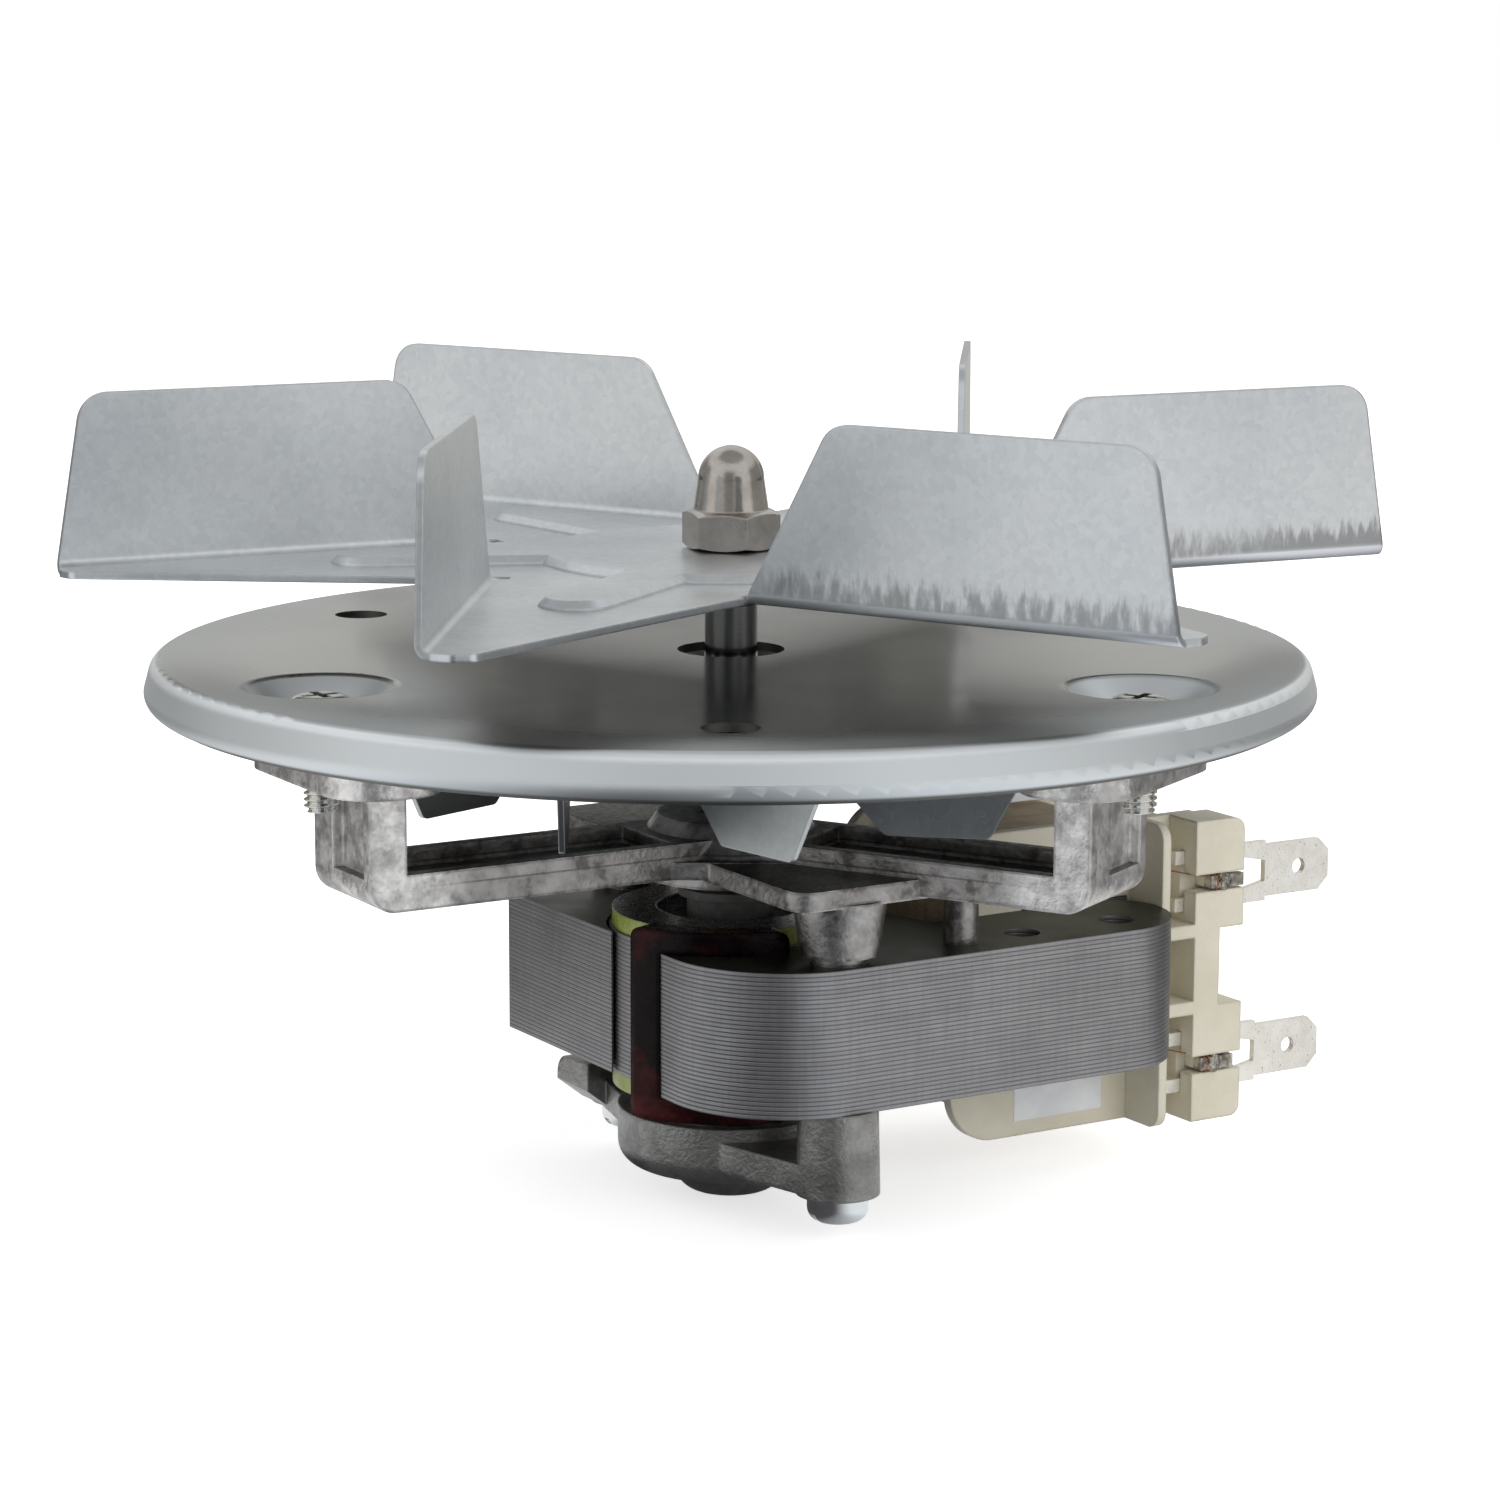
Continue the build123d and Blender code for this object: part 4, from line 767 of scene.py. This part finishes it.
tone_mix = compute(
    crystals, "ADD", times(crystals, cell_tone.outputs[0], 0.45), times(crystals, speck.outputs[0], 0.55))
crystals.links.new(tone_mix, crystals_out.inputs["Tone"])


def galvanised(name, colours, rough):
    """Zinc-coated sheet: material, tree, shader, colour, roughness and the crystals' relief."""
    material, tree, shader = new_material(name, rough[0], metallic=1.0)
    made = use_group(tree, crystals)
    crystal, stain = made.outputs["Tone"], made.outputs["Cloud"]
    mixed = compute(tree, "ADD", times(tree, crystal, 0.5), times(tree, stain, 0.5))
    colour = blend_colours(tree, mixed, *colours)
    return material, tree, shader, colour, span(tree, stain, 0.0, 1.0, *rough), crystal


# The flat is polished and the rim dull; the rim's skirt is painted pale as painted light, its shoulder
# carries a painted highlight, and the walls of holes and the sheet's lower face are painted dark as
# painted shade
disc_zinc, tree, shader, colour, roughness, relief = galvanised(
    "disc_zinc", colours=(disc_grey, disc_light), rough=(0.17, 0.22))
outer = span(tree, from_axis(tree), rim_from, rim_full)
upturn = face_up(tree, "Normal")
# Painted light: faces turned off level, the rim's skirt, are painted pale; the same mask also dulls them
turned = fade(tree, upturn, *skirt_tilt)
colour = blend_colours(tree, times(tree, turned, skirt_cover), colour, rim_painted_light)
# Painted shade: the walls of holes and the sheet's lower face are painted dark
upright = fade(tree, compute(tree, "ABSOLUTE", face_up(tree)), *wall_tilt)
hole_wall_shade = times(tree, upright, compute(tree, "SUBTRACT", 1.0, outer))
colour = blend_colours(tree, hole_wall_shade, colour, painted_underside_shade)
colour = blend_colours(tree, fade(tree, face_up(tree), *under_tilt), colour, painted_underside_shade)
# Painted highlight: the rounded shoulder of the rim is painted bright
shoulder = span(tree, upturn, *shoulder_low)
shoulder = times(tree, shoulder, fade(tree, upturn, *shoulder_high, shoulder_strength))
colour = blend_colours(tree, times(tree, shoulder, outer), colour, rim_painted_highlight)
dulled = span(tree, from_axis(tree), dull_from, dull_full, 0.0, edge_dulling)
duller = compute(tree, "MAXIMUM", times(tree, turned, skirt_dulling), dulled)
roughness = compute(tree, "ADD", roughness, duller)

# Level faces keep their true normal, so that they mirror without a bend
facing = add_node(tree, "NewGeometry")
level = add_node(tree, "Mix", data_type="VECTOR")
tree.links.new(span(tree, face_up(tree), *level_tilt), level.inputs[0])
tree.links.new(facing.outputs["Normal"], level.inputs[4])
tree.links.new(facing.outputs["True Normal"], level.inputs[5])
finish_surface(
    tree, shader, colour, roughness, relief, depth=0.004 * mm, normal=level.outputs[1])
dress(disc_zinc, "mounting_disc")

fan_zinc, tree, shader, colour, roughness, relief = galvanised(
    "cooling_fan_zinc", colours=(fan_grey, fan_light), rough=(0.3, 0.38))
finish_surface(tree, shader, colour, roughness, relief, depth=0.01 * mm, edge=0.2 * mm)
dress(fan_zinc, "cooling_fan")

bend_top = 10.9 * mm
bend_blur = 0.6 * mm
bend_painted_highlight = (0.92, 0.95, 0.98, 1)
bend_dulling = 0.12
bend_low = (-0.96, -0.85)
bend_high = (-0.3, -0.1)
under_sheet = (-0.995, -0.96)
blade_tilt = (0.4, 0.6)
right_full = 6 * mm      # only the blades on this side of the axis are scuffed
far_half = 3 * mm
scuff_colour = (0.16, 0.155, 0.155, 1)
scuff_strength = 0.6
scuff_floor = 0.52       # streaks stronger than this show


def scuffs(tree, rise, width, stretch, reach, at_bend, at_reach, full):
    """Streaks that start at the bend and thin out over a reach."""
    thinning = span(tree, rise, 0.0, reach, at_bend, at_reach)
    thinned = compute(tree, "ADD", streaks(tree, width, stretch), thinning)
    return span(tree, thinned, scuff_floor, full)


blade_zinc, tree, shader, colour, roughness, relief = galvanised(
    "impeller_zinc", colours=(zinc_grey, zinc_light), rough=(0.34, 0.42))
rise = along(tree, up_dir, -bend_top)
near_marks = scuffs(
    tree, rise, width=1.0 * mm, stretch=3.5, reach=7.0 * mm, at_bend=0.32, at_reach=-0.24, full=0.92)
far_marks = scuffs(
    tree, rise, width=0.8 * mm, stretch=5.0, reach=5.5 * mm, at_bend=0.36, at_reach=-0.2, full=0.78)
marks = add_node(tree, "Mix", data_type="FLOAT")
tree.links.new(span(tree, along(tree, (0, 1, 0)), -far_half, far_half), marks.inputs[0])
tree.links.new(near_marks, marks.inputs[2])
tree.links.new(far_marks, marks.inputs[3])
above_bend = span(tree, rise, -bend_blur, bend_blur)
right_side = span(tree, along(tree, (1, 0, 0)), 0.0, right_full)
standing = fade(tree, compute(tree, "ABSOLUTE", face_up(tree)), *blade_tilt)
scuffed = times(tree, marks.outputs[0], above_bend, right_side, standing, scuff_strength)
colour = blend_colours(tree, scuffed, colour, scuff_colour)
# Painted shade: the sheet's lower faces are painted darker
colour = blend_colours(tree, fade(tree, face_up(tree), *under_sheet), colour, impeller_painted_underside_shade)
# Painted highlight: the rounded bends at the blades' feet are painted bright, and dulled
upturn = face_up(tree, "Normal")
bend = times(tree, span(tree, upturn, *bend_low), fade(tree, upturn, *bend_high))
colour = blend_colours(tree, bend, colour, bend_painted_highlight)
roughness = compute(tree, "ADD", roughness, times(tree, bend, bend_dulling))
finish_surface(tree, shader, colour, roughness, relief, depth=0.006 * mm, edge=0.35 * mm)
dress(blade_zinc, "impeller")


# Acorn nut
# Bright nickel plate over steel, buffed, with warm dark reflections.
nickel = grained(
    "bright_nickel", metallic=1.0, sizes=(3 * mm, 0.25 * mm),
    colours=((0.40, 0.37, 0.34, 1), (0.52, 0.48, 0.44, 1)), rough=(0.07, 0.14),
    bump=0.004 * mm, edge=0.3 * mm)
dress(nickel, "acorn_nut")


# Studio
# A plain pale floor and soft lamps; the camera stands at the photograph's viewpoint.
floor_z = -0.0634
floor_half = 3.0
floor_grey = (0.85, 0.85, 0.85, 1)
floor_glow = 0.66        # brings the floor to white for the camera and keeps its shadow
white = (1, 1, 1, 1)
black = (0, 0, 0, 1)
camera_place = (0.000125, -0.47445, 0.07557)
camera_turn = (radians(-0.25), radians(10.42), radians(0.15))
camera_lens = 101.56

# Room: the pale and dark walls that metal mirrors, by direction round the shaft axis, from
# 0 towards the camera to 1 away from it, alike on both sides of a line set a little aside
wall_stops = (
    (0.00, (0.06, 0.06, 0.07, 1)),
    (0.07, (0.08, 0.08, 0.09, 1)),
    (0.13, (0.88, 0.93, 0.98, 1)),
    (0.34, (1.00, 1.00, 1.00, 1)),
    (0.40, (0.96, 0.96, 0.96, 1)),
    (0.46, (0.13, 0.13, 0.14, 1)),
    (0.74, (0.10, 0.10, 0.10, 1)),
    (0.83, (0.73, 0.72, 0.68, 1)),
)
wall_aside = 0.12        # radians
room, room_in, room_out = new_group(
    "room", [("X", "Float", 0.0), ("Y", "Float", 0.0)], [("Colour", "Color")])
ahead = times(room, room_in.outputs["Y"], -1.0)
bearing = compute(room, "ARCTAN2", room_in.outputs["X"], ahead)
turned_aside = compute(room, "ABSOLUTE", compute(room, "ADD", bearing, wall_aside))
surround = add_node(room, "ValToRGB")
room.links.new(compute(room, "DIVIDE", turned_aside, pi), surround.inputs[0])
ramp = surround.color_ramp
ramp.elements[0].color = wall_stops[0][1]
ramp.elements[1].position, ramp.elements[1].color = wall_stops[-1]
for place_at, value in wall_stops[1:-1]:
    ramp.elements.new(place_at).color = value
room.links.new(surround.outputs[0], room_out.inputs["Colour"])


def room_colour(tree, x, y):
    """The room's colour in the direction of x and y."""
    made = use_group(tree, room)
    tree.links.new(x, made.inputs["X"])
    tree.links.new(y, made.inputs["Y"])
    return made.outputs["Colour"]


# Floor: white for the camera, and in metal the room's walls as seen from a point under the part
mirror_y = 0.05
floor_mesh = bpy.data.meshes.new("floor")
corners = [(x * floor_half, y * floor_half, floor_z) for x, y in ((-1, -1), (1, -1), (1, 1), (-1, 1))]
floor_mesh.from_pydata(corners, [], [(0, 1, 2, 3)])
floor = show("floor", floor_mesh)
floor_white, tree, shader = new_material("pale_floor", roughness=0.9, metallic=0.0)
shader.inputs["Specular IOR Level"].default_value = 0.0
ray = add_node(tree, "LightPath")
spot = add_node(tree, "TexCoord")
apart = add_node(tree, "SeparateXYZ")
tree.links.new(spot.outputs["Object"], apart.inputs[0])
walls = room_colour(tree, apart.outputs["X"], compute(tree, "SUBTRACT", apart.outputs["Y"], mirror_y))
mirrored = ray.outputs["Is Glossy Ray"]
glow = compute(tree, "ADD", times(tree, ray.outputs["Is Camera Ray"], floor_glow), mirrored)
tree.links.new(blend_colours(tree, mirrored, floor_grey, black), shader.inputs["Base Color"])
tree.links.new(blend_colours(tree, mirrored, white, walls), shader.inputs["Emission Color"])
tree.links.new(glow, shader.inputs["Emission Strength"])
floor_mesh.materials.append(floor_white)

# World: white for the camera, and in metal the room under a ceiling, with two shaded
# patches low at the back. Directions are a share of half a turn, heights a sine.
haze = (0.68, 0.68, 0.66, 1)
haze_share = 0.45
dark_patches = (         # direction, upper end, darkness
    ((0.8, 0.9), (0.15, 0.19), 0.42),
    ((0.965, 0.982), (0.168, 0.182), 0.9),
)
patch_dark = (0.03, 0.03, 0.03, 1)
ceiling_light = (0.86, 0.88, 0.90, 1)
ceiling_dark = (0.46, 0.46, 0.46, 1)
ceiling_height = (0.35, 0.6)
zenith_height = (0.8, 0.9)
lighting_strength = 0.8
world = bpy.data.worlds.new("studio")
bpy.context.scene.world = world
world.use_nodes = True
tree = world.node_tree
backdrop = tree.nodes["Background"]
look = add_node(tree, "TexCoord")
toward = add_node(tree, "SeparateXYZ")
tree.links.new(look.outputs["Generated"], toward.inputs[0])
height = toward.outputs["Z"]
sideways = compute(tree, "ABSOLUTE", toward.outputs["X"])
forward = times(tree, toward.outputs["Y"], -1.0)
azimuth = compute(tree, "DIVIDE", compute(tree, "ARCTAN2", sideways, forward), pi)
walls = room_colour(tree, toward.outputs["X"], toward.outputs["Y"])
shaded = compute(tree, "MAXIMUM", *(
    times(tree, span(tree, azimuth, *direction), fade(tree, height, *upper_end, darkness))
    for direction, upper_end, darkness in dark_patches))
ceiling = blend_colours(tree, span(tree, height, *zenith_height), ceiling_light, ceiling_dark)
surround = blend_colours(tree, haze_share, walls, haze)
surround = blend_colours(tree, shaded, surround, patch_dark)
surround = blend_colours(tree, span(tree, height, *ceiling_height), surround, ceiling)
ray = add_node(tree, "LightPath")
mirrored = ray.outputs["Is Glossy Ray"]
seen = compute(tree, "MAXIMUM", ray.outputs["Is Camera Ray"], mirrored)
seen = compute(tree, "MAXIMUM", seen, ray.outputs["Is Transmission Ray"])
tree.links.new(blend_colours(tree, mirrored, white, surround), backdrop.inputs["Color"])
tree.links.new(span(tree, seen, 0.0, 1.0, lighting_strength, 1.0), backdrop.inputs["Strength"])


def softbox(name, place_at, size, watts):
    """A soft square lamp that faces the part."""
    light = bpy.data.lights.new(name, "AREA")
    light.shape = "SQUARE"
    light.size = size
    light.energy = watts
    lamp = show(name, light)
    lamp.location = place_at
    lamp.rotation_euler = (-Vector(place_at)).to_track_quat("-Z", "Y").to_euler()
    lamp.visible_glossy = False


softbox("overhead", (0.1, -0.1, 0.9), size=0.9, watts=3)
softbox("front", (0.8, -0.8, 0.4), size=0.6, watts=3)

camera_data = bpy.data.cameras.new("camera")
camera_data.lens = camera_lens
camera_data.sensor_width = 36
camera_data.clip_start = 0.01
camera = show("camera", camera_data)
yaw, down, roll = camera_turn
camera.matrix_world = (
    Matrix.Translation(camera_place)
    @ Matrix.Rotation(yaw, 4, "Z")
    @ Matrix.Rotation(pi / 2 - down, 4, "X")
    @ Matrix.Rotation(roll, 4, "Z")
)
bpy.context.scene.camera = camera
bpy.context.scene.view_settings.view_transform = "Standard"
